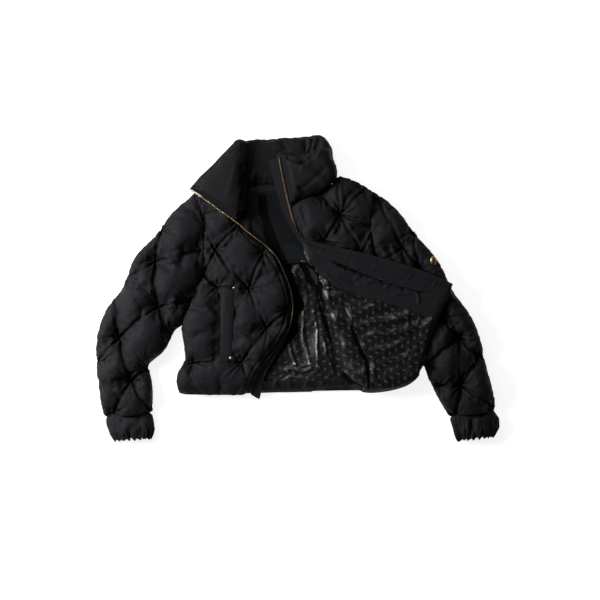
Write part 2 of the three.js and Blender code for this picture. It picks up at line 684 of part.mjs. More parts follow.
// Right front: over the back, quilted, flattened round its pocket
const rightZipEdge = besideZip(RIGHT_ZIP, -1);
const rightPuff = puffOf(RIGHT_FRONT_QUILT);
const rightPad = valueOf(RIGHT_FRONT, "pad");

function flattenedAtPocket(p, z) {
  const outX = Math.max(POCKET.left - p.x, p.x - POCKET.right, 0);
  const outY = Math.max(POCKET.bottom - p.y, p.y - POCKET.top, 0);
  const away = Math.max(0, Math.hypot(outX, outY) - POCKET.blend);
  return mix(POCKET.level, z, away / POCKET.ease);
}

const rightGrid = gridOf(
  [
    sideEdge(RIGHT_FRONT, "side", RIGHT_SLEEVE, 1),
    edgeOf(RIGHT_FRONT, (row) => row.neck ?? row.hem ?? rightZipEdge(row.zip)),
  ],
  acrossOne(RIGHT_FRONT_STEPS.across),
  steps(RIGHT_FRONT_STEPS.along),
  (p, v, column, distance) => {
    const full = (rightPad(v) - SEAM_EDGE) * roundOff(distance, ROLL) * rightPuff(p.x, p.y);
    return flattenedAtPocket(p, FRONT_BASE + SEAM_EDGE + full);
  },
);
addPiece("right_front", "shell", flatBottomed(rightGrid, FRONT_BASE, DRAWN_IN));

// Pocket: a raised welt with a snap at each end
const weltShape = new THREE.Shape(WELT_CORNERS.map(([x, y]) => new THREE.Vector2(x, y)));
const welt = new THREE.ExtrudeGeometry(weltShape, { depth: WELT_HEIGHT, bevelEnabled: false });
addPiece("right_pocket_welt", "shell", welt).position.z = POCKET.level + GAP;
SNAP_PLACES.forEach(([x, y], i) => {
  const snap = new THREE.CylinderGeometry(SNAP.radius * SNAP.taper, SNAP.radius, SNAP.height, 20);
  const mesh = addPiece(`pocket_snap_${i + 1}`, "gold", snap);
  mesh.rotation.x = Math.PI / 2;
  mesh.position.set(x, y, POCKET.level + WELT_HEIGHT + 2 * GAP + SNAP.height / 2);
});

// Left front: the chest, and the rest of it turned back over the sleeve with its lining up
const leftZipEdge = besideZip(LEFT_ZIP, 1);
const chestPuff = puffOf(CHEST_QUILT);
const chestPad = valueOf(CHEST, "pad");
const chestGrid = gridOf(
  [
    edgeOf(CHEST, (row) => row.front ?? leftZipEdge(row.zip)),
    sideEdge(CHEST, "side", LEFT_SLEEVE, -1),
  ],
  acrossOne(CHEST_STEPS.across),
  steps(CHEST_STEPS.along),
  (p, v, column, distance) => {
    const full = (chestPad(v) - SEAM_EDGE) * roundOff(distance, ROLL) * chestPuff(p.x, p.y);
    return pressed(p, FRONT_BASE + SEAM_EDGE + full);
  },
);

function zipPointOf(row) {
  const [x, y] = row.edge;
  const inward = new THREE.Vector2(row.placket[0] - x, row.placket[1] - y).setLength(FLAP_LIP);
  return [x + inward.x, y + inward.y];
}

const dropAt = valueOf(FLAP, "drop");

function flapUnderside(v, column) {
  const towardsFold = mix(0, 1, column - FLAP_COLUMNS.facing) ** FLAP_FOLD_SHARPNESS;
  const low = mix(FLAP_FOLD_BASE, FLAP_FOOT.base, column - FLAP_COLUMNS.fold);
  return mix(FLAP_BASE, low, dropAt(v) * towardsFold);
}

function flapTop(v, column) {
  const towardsFoot = mix(0, 1, column - FLAP_COLUMNS.fold) ** FLAP_FOOT_CURVE;
  return mix(FLAP_BASE + FLAP_PAD, FLAP_FOOT.top, dropAt(v) * towardsFoot);
}

const flapEdges = [
  edgeOf(FLAP, zipPointOf),
  ...["placket", "facing", "fold", "foot"].map((column) => edgeOf(FLAP, (row) => row[column])),
];
const flapAcross = acrossColumns(FLAP_STEPS.across);
const flapAlong = steps(FLAP_STEPS.along);
const flapGrid = gridOf(flapEdges, flapAcross, flapAlong, (p, v, column, distance) => {
  const low = flapUnderside(v, column);
  const full = flapTop(v, column) - low - SEAM_EDGE;
  return low + SEAM_EDGE + full * roundOff(distance, FLAP_ROLL) + foldsAt(FLAP_FOLDS, p.x, p.y);
});
const flapUnder = gridOf(flapEdges, flapAcross, flapAlong, (p, v, column) => flapUnderside(v, column));
addPiece(
  "left_front",
  "shell",
  joined(flatBottomed(chestGrid, FRONT_BASE, DRAWN_IN), betweenGrids(flapGrid, flapUnder)),
);
const lastFlapRow = flapGrid.length - 1;
const hemBandRow = lastFlapRow - FLAP_HEM_ROWS;
const skinAt = FLAP_SKIN_COLUMNS;
const hemBand = skinOver(flapGrid, [hemBandRow, lastFlapRow], [skinAt.edge, skinAt.foot]);
addPiece("left_facing", "facing", skinOver(flapGrid, [0, hemBandRow], [skinAt.edge, skinAt.facing]));
addPiece("left_front_lining", "lining", skinOver(flapGrid, [0, hemBandRow], [skinAt.facing, skinAt.foot]));
addPiece("left_hem_facing", "facing", hemBand);
const labelLift = 2 * GAP + SKIN_WALL;
addPiece("care_label", "label", skinOver(flapGrid, LABEL_CELLS.rows, LABEL_CELLS.columns, labelLift, 1));

// The left placket lies over the zip along the turned-back edge
const lipEdge = edgeOf(FLAP, (row) => row.edge);
const placketGrid = flapGrid.map((row, i) => {
  const lip = lipEdge(flapAlong[i]);
  return [new THREE.Vector3(lip.x, lip.y, row[0].z), ...row.slice(0, skinAt.edge + 1)];
});
addPiece("left_placket", "facing", skinOver(placketGrid, [0, lastFlapRow], [0, skinAt.edge + 1]));

// Zips: teeth on a tape beside each padded edge
const turnedZipLevel = FLAP_BASE + TURNED_ZIP.level;
const turnedZip = flapGrid.slice(1, lastFlapRow - 1).map((row) => row[0].clone().setZ(turnedZipLevel));
addPiece("left_zip_tape_front", "tape", strip(turnedZip, ...TURNED_ZIP.tape, TAPE.height));
addPiece("left_zip_teeth_front", "gold", strip(turnedZip, ...TURNED_ZIP.teeth, TEETH.height));

const leftZip = pathOf(LEFT_ZIP, ZIP_STEPS.left);
addPiece("left_zip_teeth_collar", "gold", strip(leftZip, TEETH.from, TEETH.to, TEETH.height));
addPiece("left_zip_tape_collar", "tape", strip(leftZip, TAPE.near, TAPE.far, TAPE.height));
const placketWidth = (i) => -mix(LEFT_PLACKET_WIDTH, LEFT_PLACKET_END, i / (leftZip.length - 1));
const besideTeeth = TEETH.from - 0.4;
addPiece("left_collar_placket", "facing", strip(leftZip, placketWidth, besideTeeth, PLACKET_WALL));

const rightZip = pathOf(RIGHT_ZIP, ZIP_STEPS.right);
const turn = (ZIP_STEPS.right / (RIGHT_ZIP.length - 1)) * RIGHT_ZIP_TURN;
addPiece("right_zip_teeth", "gold", strip(rightZip, TEETH.from, TEETH.to, TEETH.height));
const collarTape = strip(rightZip.slice(0, turn - 2), TAPE.near, TAPE.far, TAPE.height);
const frontTape = strip(rightZip.slice(turn + 1), -TAPE.far, -TEETH.to, TAPE.height);
addPiece("right_zip_tape_collar", "tape", collarTape);
addPiece("right_zip_tape_front", "tape", frontTape);

const placketLine = pathOf(RIGHT_PLACKET, ZIP_STEPS.placket);
const showing = valueOf(RIGHT_PLACKET, "width");
const placketReach = (i) => showing(i / (placketLine.length - 1));
addPiece("right_placket", "facing", strip(placketLine, 0, placketReach, PLACKET_WALL));

// Slider at the turned-back corner, with its pull under the hem
const zipEnd = turnedZip[turnedZip.length - 1];
const beforeEnd = turnedZip[turnedZip.length - 3];
const zipDirection = zipEnd.clone().sub(beforeEnd).setZ(0).normalize();
const acrossZip = new THREE.Vector3(-zipDirection.y, zipDirection.x, 0);
const sliderBody = new THREE.BoxGeometry(SLIDER.length, SLIDER.width, SLIDER.height);
const slider = addPiece("zip_slider", "gold", sliderBody);
slider.rotation.z = Math.atan2(zipDirection.y, zipDirection.x);
slider.position
  .copy(zipEnd)
  .addScaledVector(zipDirection, SLIDER.length / 2 + GAP)
  .addScaledVector(acrossZip, SLIDER.width / 2 + 2 * GAP);
const ring = new THREE.TorusGeometry(PULL.ring, PULL.wire, 8, 28);
const bar = new THREE.BoxGeometry(PULL.barWidth, PULL.barLength, 2 * PULL.wire);
bar.translate(0, PULL.ring + PULL.barLength / 2, 0);
for (const piece of [ring, bar]) {
  piece.deleteAttribute("normal");
  piece.deleteAttribute("uv");
}
addPiece("zip_pull", "gold", joined(ring, bar)).position.set(...PULL_PLACE, PULL.height);

// Collar: its back lies flat, one end is folded out over the shoulder and one stands over it
const collarPad = valueOf(COLLAR_BACK, "pad");
const collarBackGrid = gridOf(
  [edgeOf(COLLAR_BACK, (row) => row.seam), edgeOf(COLLAR_BACK, (row) => row.top)],
  acrossOne(COLLAR_STEPS.back[0]),
  steps(COLLAR_STEPS.back[1]),
  (p, v, column, distance) => mix(SEAM_EDGE, collarPad(v), roundOff(distance, ROLL)),
);
const wingZipEdge = besideZip(RIGHT_ZIP, 1);
const wingPad = valueOf(COLLAR_WING, "pad");
const wingBase = valueOf(COLLAR_WING, "base");
const wingEdges = [
  edgeOf(COLLAR_WING, (row) => row.seam ?? wingZipEdge(row.zip)),
  edgeOf(COLLAR_WING, (row) => row.top),
];
const wingAcross = acrossOne(COLLAR_STEPS.wing[0]);
const wingAlong = steps(COLLAR_STEPS.wing[1]);
const wingTop = gridOf(wingEdges, wingAcross, wingAlong, (p, v, column, distance) =>
  wingBase(v) + mix(SEAM_EDGE, Math.max(SEAM_EDGE, wingPad(v)), roundOff(distance, ROLL)),
);
const wingUnder = gridOf(wingEdges, wingAcross, wingAlong, (p, v) => wingBase(v));
const leftPad = valueOf(COLLAR_LEFT, "pad");
const collarLeftGrid = gridOf(
  [edgeOf(COLLAR_LEFT, (row) => leftZipEdge(row.zip)), edgeOf(COLLAR_LEFT, (row) => row.fold)],
  acrossOne(COLLAR_STEPS.left[0]),
  steps(COLLAR_STEPS.left[1]),
  (p, v, column, distance) => COLLAR_LEFT_BASE + mix(SEAM_EDGE, leftPad(v), roundOff(distance, ROLL)),
);
addPiece(
  "collar",
  "shell",
  joined(
    flatBottomed(collarBackGrid, 0, DRAWN_IN),
    betweenGrids(wingTop, wingUnder),
    flatBottomed(collarLeftGrid, COLLAR_LEFT_BASE, DRAWN_IN),
  ),
);

// Sleeves and their gathered cuffs
function quiltedTop(quilt, limit) {
  const puff = puffOf(quilt);
  return (p, z, widest) => limit(p, mix(widest, z, puff(p.x, p.y)));
}

function gatheredTop(p, z, widest, angle, v) {
  const gather = Math.sin(2 * CUFF_GATHERS.count * angle + CUFF_GATHERS.turn * v);
  return z * (1 + CUFF_GATHERS.depth * gather);
}

const rightSleeve = tubeRings(RIGHT_SLEEVE, SLEEVE_STEPS, quiltedTop(RIGHT_SLEEVE_QUILT, (p, z) => z));
const leftSleeve = tubeRings(LEFT_SLEEVE, SLEEVE_STEPS, quiltedTop(LEFT_SLEEVE_QUILT, pressed));
addPiece("right_sleeve", "shell", openTube(rightSleeve));
addPiece("left_sleeve", "shell", openTube(leftSleeve));
addPiece("right_cuff", "shell", openTube(tubeRings(RIGHT_CUFF, CUFF_STEPS, gatheredTop)));
addPiece("left_cuff", "shell", openTube(tubeRings(LEFT_CUFF, CUFF_STEPS, gatheredTop)));

// A plain oval stud on the left sleeve, square to the cloth under it
const onTop = leftSleeve.rings.flatMap((points, i) =>
  points
    .slice(1, SLEEVE_STEPS.around / 2 - 1)
    .map((p, k) => ({ p, next: points[k + 2], along: leftSleeve.rings[i + 1]?.[k + 1] })),
);
const toStud = ({ p }) => Math.hypot(p.x - STUD_PLACE[0], p.y - STUD_PLACE[1]);
const seat = onTop.filter(({ along }) => along).reduce((a, b) => (toStud(b) < toStud(a) ? b : a));
const outward = seat.next.clone().sub(seat.p).cross(seat.along.clone().sub(seat.p)).normalize();
if (outward.z < 0) outward.negate();
const stud = addPiece("sleeve_stud", "gold", new THREE.CylinderGeometry(STUD.taper, 1, STUD.height, 28));
stud.scale.set(STUD.radiusAcross, 1, STUD.radiusAlong);
stud.quaternion.setFromUnitVectors(new THREE.Vector3(0, 1, 0), outward);
stud.position.copy(seat.p).addScaledVector(outward, STUD.height / 2 + STUD_LIFT);

// The origin is at the middle of the garment's box, on the surface it lies on
const box = new THREE.Box3().setFromObject(jacket);
const middle = box.getCenter(new THREE.Vector3());
jacket.position.set(-middle.x, -middle.y, -box.min.z);

export default jacket;
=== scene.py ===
# A cropped puffer jacket laid open on its back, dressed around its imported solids.
import json
import math
from collections import namedtuple

import bmesh
import bpy
import numpy as np
from bpy.props import FloatProperty, FloatVectorProperty, PointerProperty
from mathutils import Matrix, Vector
from mathutils.bvhtree import BVHTree

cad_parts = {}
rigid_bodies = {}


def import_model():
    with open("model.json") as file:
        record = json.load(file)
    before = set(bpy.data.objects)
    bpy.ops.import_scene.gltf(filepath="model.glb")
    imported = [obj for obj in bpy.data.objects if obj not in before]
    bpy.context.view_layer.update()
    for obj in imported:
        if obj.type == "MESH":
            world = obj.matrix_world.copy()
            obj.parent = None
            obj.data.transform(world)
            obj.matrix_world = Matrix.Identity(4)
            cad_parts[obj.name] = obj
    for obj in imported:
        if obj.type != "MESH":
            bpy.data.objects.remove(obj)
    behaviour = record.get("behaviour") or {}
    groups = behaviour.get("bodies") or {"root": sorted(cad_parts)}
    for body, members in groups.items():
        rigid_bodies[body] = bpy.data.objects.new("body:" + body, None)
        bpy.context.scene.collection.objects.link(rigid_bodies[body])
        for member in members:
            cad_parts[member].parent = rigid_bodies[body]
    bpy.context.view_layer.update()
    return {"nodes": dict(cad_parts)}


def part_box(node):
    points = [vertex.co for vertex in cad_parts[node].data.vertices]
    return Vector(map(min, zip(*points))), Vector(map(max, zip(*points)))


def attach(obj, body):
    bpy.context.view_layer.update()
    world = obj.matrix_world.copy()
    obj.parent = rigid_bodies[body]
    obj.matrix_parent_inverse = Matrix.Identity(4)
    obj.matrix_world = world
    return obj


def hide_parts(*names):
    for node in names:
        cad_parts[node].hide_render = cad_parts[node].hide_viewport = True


bl_info = {
    "name": "Puffer Jacket",
    "version": (1, 0, 0),
    "blender": (4, 5, 0),
    "location": "View3D > Sidebar > Jacket",
    "description": "Dresses the solids of a quilted puffer jacket in cloth, lining, zips and stitching",
    "category": "Object",
}

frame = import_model()
MM = 0.001
ORIGIN = np.array([0.0186, -7.2527])  # of the tables below, in mm, in the frame

# Quilting: each row is a tuft, in mm, and the rows that a stitched line joins it to
Tuft = namedtuple("Tuft", "x y to")
RIGHT_FRONT_QUILT = [
    Tuft(-225, 170, [1]),
    Tuft(-191, 91, [2, 3, 4]),
    Tuft(-140, 147, []),
    Tuft(-218, 34, []),
    Tuft(-113, 1, [1, 5, 6, 9]),
    Tuft(-80, 83, []),
    Tuft(-72, -88, [7, 8]),
    Tuft(-23, -48, []),
    Tuft(-130, -166, [10]),
    Tuft(-186, 6, [3]),
    Tuft(-240, -168, []),
]
RIGHT_SLEEVE_QUILT = [
    Tuft(-329, 64, [1, 5, 9]),
    Tuft(-323, -39, [2, 6, 10]),
    Tuft(-411, -110, [3, 7, 11]),
    Tuft(-383, -208, [4, 8, 12]),
    Tuft(-425, -283, []),
    Tuft(-314, 138, []),
    Tuft(-248, -28, []),
    Tuft(-426, 12, [0]),
    Tuft(-347, -182, []),
    Tuft(-225, 90, []),
    Tuft(-290, -110, []),
    Tuft(-460, -163, []),
    Tuft(-340, -283, []),
]
CHEST_QUILT = [
    Tuft(97, 172, [1, 2, 3, 4, 5, 6]),
    Tuft(53, 216, []),
    Tuft(60, 113, []),
    Tuft(147, 85, [4, 2]),
    Tuft(177, 143, []),
    Tuft(156, 235, []),
    Tuft(92, 262, []),
]
LEFT_SLEEVE_QUILT = [
    Tuft(281, 51, [1, 2, 3]),
    Tuft(241, 97, [4, 5]),
    Tuft(262, 133, []),
    Tuft(370, -108, [6, 7, 8, 9]),
    Tuft(184, 207, []),
    Tuft(180, 60, []),
    Tuft(375, -221, [10, 11, 12]),
    Tuft(329, -64, []),
    Tuft(414, -154, [6]),
    Tuft(298, -170, [6]),
    Tuft(327, -220, []),
    Tuft(451, -271, []),
    Tuft(363, -290, []),
]
# The middle of the zips' teeth, in mm
ZipPoint = namedtuple("ZipPoint", "x y z")
RIGHT_ZIP = [
    ZipPoint(-250, 231, 41),
    ZipPoint(-212, 207, 41),
    ZipPoint(-174, 179, 41),
    ZipPoint(-141, 156, 39),
    ZipPoint(-106, 126, 31),
    ZipPoint(-70, 98, 27),
    ZipPoint(-48, 73, 26.5),
    ZipPoint(-31, 38, 26.5),
    ZipPoint(-17, -1, 26.5),
    ZipPoint(-12, -44, 26.5),
    ZipPoint(-19, -83, 26.5),
    ZipPoint(-40, -120, 26.5),
    ZipPoint(-66, -154, 26.5),
    ZipPoint(-92, -188, 26.5),
    ZipPoint(-111, -228, 26.5),
]
LEFT_ZIP = [
    ZipPoint(-44, 304, 29),
    ZipPoint(-36, 262, 29),
    ZipPoint(-26, 216, 28.5),
    ZipPoint(-15, 172, 27),
    ZipPoint(-3, 136, 26.5),
]
# Creases of the thin cloth: the points of a line, its rise and its half width, in mm
Crease = namedtuple("Crease", "line rise width")
BACK_LINING_CREASES = [
    Crease([(18, 70), (-10, 41), (8, 12), (30, -21)], 5, 2.6),
    Crease([(24, -12), (38, -54), (44, -90), (45, -140), (44, -205)], 2.6, 1.5),
    Crease([(47, -6), (62, -60), (80, -126)], -4, 7),
    Crease([(-24, -105), (-14, -150), (6, -198)], 3, 2.6),
    Crease([(10, -60), (14, -110), (26, -160), (34, -200)], 2.5, 2.6),
    Crease([(60, -110), (66, -150), (90, -200)], 3, 2.6),
    Crease([(-60, -206), (-40, -214), (-20, -200), (20, -207)], 3, 2.4),
    Crease([(20, 30), (38, 14), (50, 4)], 3, 3),
    Crease([(4, -20), (16, -60), (10, -110), (20, -150)], 1.8, 2.2),
    Crease([(-20, -170), (10, -176), (40, -168)], 1.8, 2.2),
    Crease([(44, -90), (66, -132), (104, -160)], 2, 2.4),
    Crease([(30, 72), (40, 30), (52, -8), (66, -40)], -7, 9),
    Crease([(-6, -60), (-10, -110), (4, -160)], 3.5, 6),
    Crease([(-44, -190), (-20, -182), (12, -188), (44, -176)], 3, 5),
]
FRONT_LINING_CREASES = [
    Crease([(24, 66), (58, 16), (95, -4), (160, -24), (228, -45), (272, -60)], 2.5, 2.4),
    Crease([(130, -57), (167, -36), (200, -45), (242, -76), (284, -98)], 2.8, 2.6),
    Crease([(173, -117), (228, -90), (269, -106)], 2, 3),
    Crease([(183, -150), (235, -118), (262, -130)], 1.8, 2.6),
    Crease([(128, -60), (117, -62), (125, -84), (147, -112), (172, -156), (208, -198)], 2.2, 2.4),
    Crease([(115, -85), (140, -130), (160, -168), (172, -222)], -3, 6),
    Crease([(60, -10), (92, -40), (118, -62)], 2.6, 2.6),
    Crease([(200, -160), (238, -150), (272, -165)], 1.6, 2.8),
    Crease([(196, -52), (226, -72), (246, -66), (262, -90), (280, -84)], 2, 2.0),
    Crease([(208, -84), (240, -96), (258, -88)], 1.5, 2.0),
    Crease([(150, -70), (186, -76), (214, -66)], 1.5, 2.2),
    Crease([(170, -96), (200, -104), (236, -100)], 1.4, 2.2),
    Crease([(184, -170), (200, -200), (214, -228)], 2.4, 2.4),
    Crease([(150, -150), (176, -196), (184, -226)], 2.4, 2.2),
    Crease([(24, 72), (34, 44), (48, 10), (56, -12)], -5, 11),
    Crease([(56, 14), (64, 2), (80, 6), (96, -10), (112, -8)], 2.6, 2.0),
    Crease([(130, -84), (170, -72), (214, -70), (262, -58)], 3.2, 5),
    Crease([(136, -112), (176, -100), (220, -102), (260, -96)], 3.0, 5),
    Crease([(156, -140), (196, -130), (236, -134), (258, -128)], 2.6, 5),
    Crease([(180, -170), (206, -160), (244, -168)], 1.8, 5),
]
BACK_HEM_CREASES = [
    Crease([(-90, -240), (-84, -222)], 3, 4),
    Crease([(-58, -242), (-50, -222)], 3.5, 5),
    Crease([(-22, -243), (-16, -222)], 3, 5),
    Crease([(14, -243), (22, -222)], 4, 5),
    Crease([(52, -243), (58, -222)], 3.5, 6),
]
PLACKET_CREASES = [
    Crease([(60, 98), (48, 82)], 1.1, 1.8),
    Crease([(118, 84), (106, 66)], 1.0, 1.8),
    Crease([(182, 64), (168, 44)], 1.1, 1.8),
    Crease([(226, 52), (214, 34)], 0.9, 1.6),
    Crease([(262, 40), (248, 20)], 1.1, 1.8),
    Crease([(318, 22), (306, 4)], 1.0, 1.8),
]
FACING_CREASES = [
    Crease([(96, 30), (118, 24), (132, 10)], -1.6, 4),
    Crease([(100, 48), (126, 37), (140, 31)], 1.6, 2.4),
    Crease([(128, 22), (138, 31), (156, 36), (170, 35)], 2.4, 2.2),
    Crease([(150, 14), (172, 22), (196, 20)], 1.5, 3),
    Crease([(196, 4), (206, 10), (222, 12), (238, 8)], 2.4, 2.2),
    Crease([(214, -14), (232, -6), (262, -10)], 1.6, 3),
    Crease([(272, -6), (276, -20), (274, -34)], 2.2, 2.2),
    Crease([(60, 40), (80, 22), (96, 14)], 1.5, 3),
]
COLLAR_CREASES = [
    Crease([(-30, 306), (-9, 299), (5, 291), (22, 300)], -6, 4),
    Crease([(-26, 296), (-8, 289), (8, 282), (30, 288)], 2.5, 5),
    Crease([(2, 291), (25, 300), (39, 313), (46, 340), (51, 356)], -5, 5),
    Crease([(20, 292), (42, 304), (56, 326), (62, 346)], 2.5, 6),
    Crease([(25, 312), (30, 332), (34, 352)], -5, 4),
    Crease([(0, 276), (30, 268), (56, 250), (74, 232)], 2.5, 8),
    Crease([(66, 282), (46, 262), (20, 240), (0, 226)], -2.5, 6),
    Crease([(-60, 330), (-20, 322), (10, 330)], 1.5, 7),
    Crease([(-128, 200), (-122, 240), (-130, 290)], -4, 5),
    Crease([(-118, 196), (-110, 236), (-122, 272)], -3, 4),
    Crease([(-160, 215), (-150, 250), (-140, 300)], 1.5, 8),
    Crease([(-110, 215), (-104, 250), (-96, 280)], 2, 6),
    Crease([(-84, 205), (-80, 240), (-70, 268)], 1.5, 5),
]
# Lines that several pieces share, in mm
NECK_FOLD = [(-74, 262), (-71, 179), (-51, 124), (-23, 64), (-12, 40)]  # its right side, from the collar down
# how wide the band of painted shadow past the neck fold is, in mm
NECK_SHADOW_WIDTH = 21
PLACKET_EDGE = [(28, 92), (92, 58), (159, 33), (242, 5), (345, -15)]
# Painted shade: folds whose cloth is coloured near black to stand for deep shadow; their middle line and
# their half width at each of its points, in mm
PaintedShadeFold = namedtuple("PaintedShadeFold", "line widths")
PAINTED_SHADE_FOLDS = [
    PaintedShadeFold([(14, 56), (32, 33), (47, 10)], (11, 15, 10)),
    PaintedShadeFold([(46, 4), (56, -50), (76, -120)], (8, 6, 2.5)),
    PaintedShadeFold([(122, -84), (140, -130), (159, -168), (161, -226)], (4, 5, 4.5, 2.5)),
    PaintedShadeFold([(106, -194), (120, -211), (144, -222)], (5, 8, 5)),
]
# Where the placket's seam gapes: how far along its edge, how much and over what share of it
Gap = namedtuple("Gap", "place amount spread")
PLACKET_GAPS = [
    Gap(0.27, 0.35, 0.022),
    Gap(0.325, 0.8, 0.014),
    Gap(0.40, 0.3, 0.02),
    Gap(0.465, 0.75, 0.016),
    Gap(0.50, 0.45, 0.01),
    Gap(0.615, 1.0, 0.024),
    Gap(0.665, 0.5, 0.012),
    Gap(0.755, 0.8, 0.014),
    Gap(0.845, 0.7, 0.018),
]
# The rows of topstitching, in mm
STITCH_LINES = [
    [(10, 100), (46, 88), (98, 70), (158, 52), (225, 32), (283, 14), (345, -8)],
    [(14, 108), (46, 98), (101, 82), (162, 64), (231, 44), (289, 26), (350, 6)],
    [(-31, 304), (-23, 262), (-13, 216), (-3, 176)],
    [(-64, 296), (-55, 230), (-40, 186), (-16, 156)],
    [(-176, 3), (-147, -1), (-153, -147), (-176, -149), (-176, 3)],
    [(-268, -224), (-200, -229), (-130, -230)],
]
# The pocket's welt: the x of its middle at a level y, how it leans and its half width, in mm
WELT_X, WELT_Y, WELT_LEAN, WELT_HALF_WIDTH = -162.5, -80, 0.035, 17
# Round metal: places, and profiles as radius and height, in mm
SNAPS = {"pocket_snap_1": (-145.5, 6), "pocket_snap_2": (-154, -157)}
SNAP_PROFILE = [
    (4.9, 0), (5.0, 0.5), (4.8, 1.0), (4.0, 1.4), (3.7, 1.35), (3.3, 1.7), (2.0, 2.2), (0.4, 2.4),
]
EYELET_LINE = [(232, -222), (233, -222.5), (234, -223)]
EYELET_PROFILE = [(2.6, -1), (2.6, 0.6), (2.0, 1.1), (1.2, 0.9), (1.1, 0.1)]
# How far the stud and the label lie from their solids, in mm
STUD_SHIFT = np.array([9.5, -5, -1.2])
LABEL_SHIFT = np.array([27, -12, 0])
RAYS = 7  # loose creases round each tuft
MOMENTS = 20  # of the cloth simulation
SHARP_ANGLE = 0.9  # between the faces at an edge that stays crisp


# Numbers over a surface

def soft_step(low, high, value):
    t = np.clip((value - low) / (high - low), 0, 1)
    return t * t * (3 - 2 * t)


def bell(distance, width):
    """1 at no distance, falling smoothly towards 0 past the width."""
    return np.exp(-((distance / width) ** 2))


def lattice(ix, iy, seed):
    """A fixed number from 0 to 1 for each whole place."""
    mask = np.uint64(0xFFFFFFFF)
    h = ix.astype(np.int64).astype(np.uint64) * np.uint64(374761393)
    h = (h + iy.astype(np.int64).astype(np.uint64) * np.uint64(668265263) + np.uint64(seed * 9781)) & mask
    h = ((h ^ (h >> np.uint64(13))) * np.uint64(1274126177)) & mask
    return (h ^ (h >> np.uint64(16))).astype(float) / 4294967295


def unevenness(plan, size, seed):
    """Smooth unevenness from -1 to 1, whose bumps are about size apart."""
    q = plan / size
    base = np.floor(q)
    t = q - base
    t = t * t * (3 - 2 * t)
    ix, iy = base[:, 0], base[:, 1]
    low = lattice(ix, iy, seed) * (1 - t[:, 0]) + lattice(ix + 1, iy, seed) * t[:, 0]
    high = lattice(ix, iy + 1, seed) * (1 - t[:, 0]) + lattice(ix + 1, iy + 1, seed) * t[:, 0]
    return 2 * (low * (1 - t[:, 1]) + high * t[:, 1]) - 1


def sharp_ridges(plan, size, seed, stretch=(1.0, 1.0)):
    """Thin ridges like those of crumpled cloth, from 0 to 1."""
    bent = plan * np.array(stretch)
    warp = np.stack([unevenness(bent, size * 1.7, seed + 5), unevenness(bent, size * 1.7, seed + 9)], 1)
    return (1 - np.abs(unevenness(bent + 0.45 * size * warp, size, seed))) ** 3


def way_to(plan, line):
    """The vector from each point to the nearest place on a line, and how far along the line it is, 0 to 1."""
    nearest = np.full(len(plan), 1e9)
    way, share = np.zeros((len(plan), 2)), np.zeros(len(plan))
    steps = len(line) - 1
    for i in range(steps):
        a, b = np.array(line[i], float)[:2], np.array(line[i + 1], float)[:2]
        t = np.clip((plan - a) @ (b - a) / ((b - a) @ (b - a)), 0, 1)
        offset = plan - a - t[:, None] * (b - a)
        d = np.hypot(*offset.T)
        closer = d < nearest
        nearest = np.where(closer, d, nearest)
        way = np.where(closer[:, None], -offset, way)
        share = np.where(closer, (i + t) / steps, share)
    return way, share


def to_line(plan, line):
    """The distance of each point from a line of points, and how far along the line it is, 0 to 1."""
    way, share = way_to(plan, line)
    return np.hypot(*way.T), share


def across_at(line, y):
    """The x of a line that runs downwards, at each height y."""
    return np.interp(y, [p[1] for p in line[::-1]], [p[0] for p in line[::-1]])


def creased(plan, creases, fade=0.1):
    """The height of listed creases, which fade out towards their ends."""
    height = np.zeros(len(plan))
    for crease in creases:
        d, t = to_line(plan, crease.line)
        ends = soft_step(0, fade, t) * soft_step(0, fade, 1 - t)
        height += crease.rise * ends * bell(d, crease.width)
    return height


def loose_folds(plan, turn, size, stretch, seed):
    """Broad soft folds that are long one way, from -1 to 1."""
    turned_plan = plan @ np.array([[math.cos(turn), -math.sin(turn)], [math.sin(turn), math.cos(turn)]])
    return unevenness(turned_plan * np.array(stretch), size, seed)


def quilt_lines(quilt):
    return [((a.x, a.y), (quilt[k].x, quilt[k].y)) for a in quilt for k in a.to]


def along_lines(plan, quilt):
    """For each quilted line: how hard it pulls, and each point's distance from it and share along it."""
    for i, line in enumerate(quilt_lines(quilt)):
        strength = 0.4 + 0.6 * float(lattice(np.array([i]), np.array([7]), 3)[0])
        yield (strength, *to_line(plan, line))


def quilting(plan, quilt, width):
    """How far each point is drawn into the quilted lines, 0 to 1, and its distance from a tuft."""
    drawn = np.zeros(len(plan))
    for strength, d, t in along_lines(plan, quilt):
        pull = strength * (0.2 + 0.8 * np.abs(1 - 2 * t) ** 1.3)
        drawn = np.maximum(drawn, pull * bell(d, width))
    tufts = [np.hypot(plan[:, 0] - q.x, plan[:, 1] - q.y) for q in quilt]
    return drawn, np.min(tufts, 0)


def filled_middles(plan, quilt, width):
    """How far each point lies in the soft middle of a quilted line, 0 to 1."""
    filled = np.zeros(len(plan))
    for strength, d, t in along_lines(plan, quilt):
        middle = (1 - np.abs(1 - 2 * t) ** 1.6) * (1.15 - 0.75 * strength)
        filled = np.maximum(filled, middle * bell(d, width))
    return filled


def pucker(plan, centre, angle, length, depth, width, bend):
    """One crisp crease that runs out from a tuft, with a soft ridge on each side."""
    rel = plan - np.array(centre, float)
    out = np.array([math.cos(angle), math.sin(angle)])
    along = rel @ out
    across = rel @ np.array([-out[1], out[0]]) + bend * along * along / length
    fade = np.clip(1 - along / length, 0, 1) ** 1.2 * soft_step(-2, 4, along)
    wide = width * (0.7 + 1.2 * np.clip(along / length, 0, 1))
    trough = np.exp(-np.abs(across) / wide)
    ridge = bell(np.abs(across) - 3.0 * wide, 1.5 * wide)
    return depth * fade * (0.45 * ridge - trough)


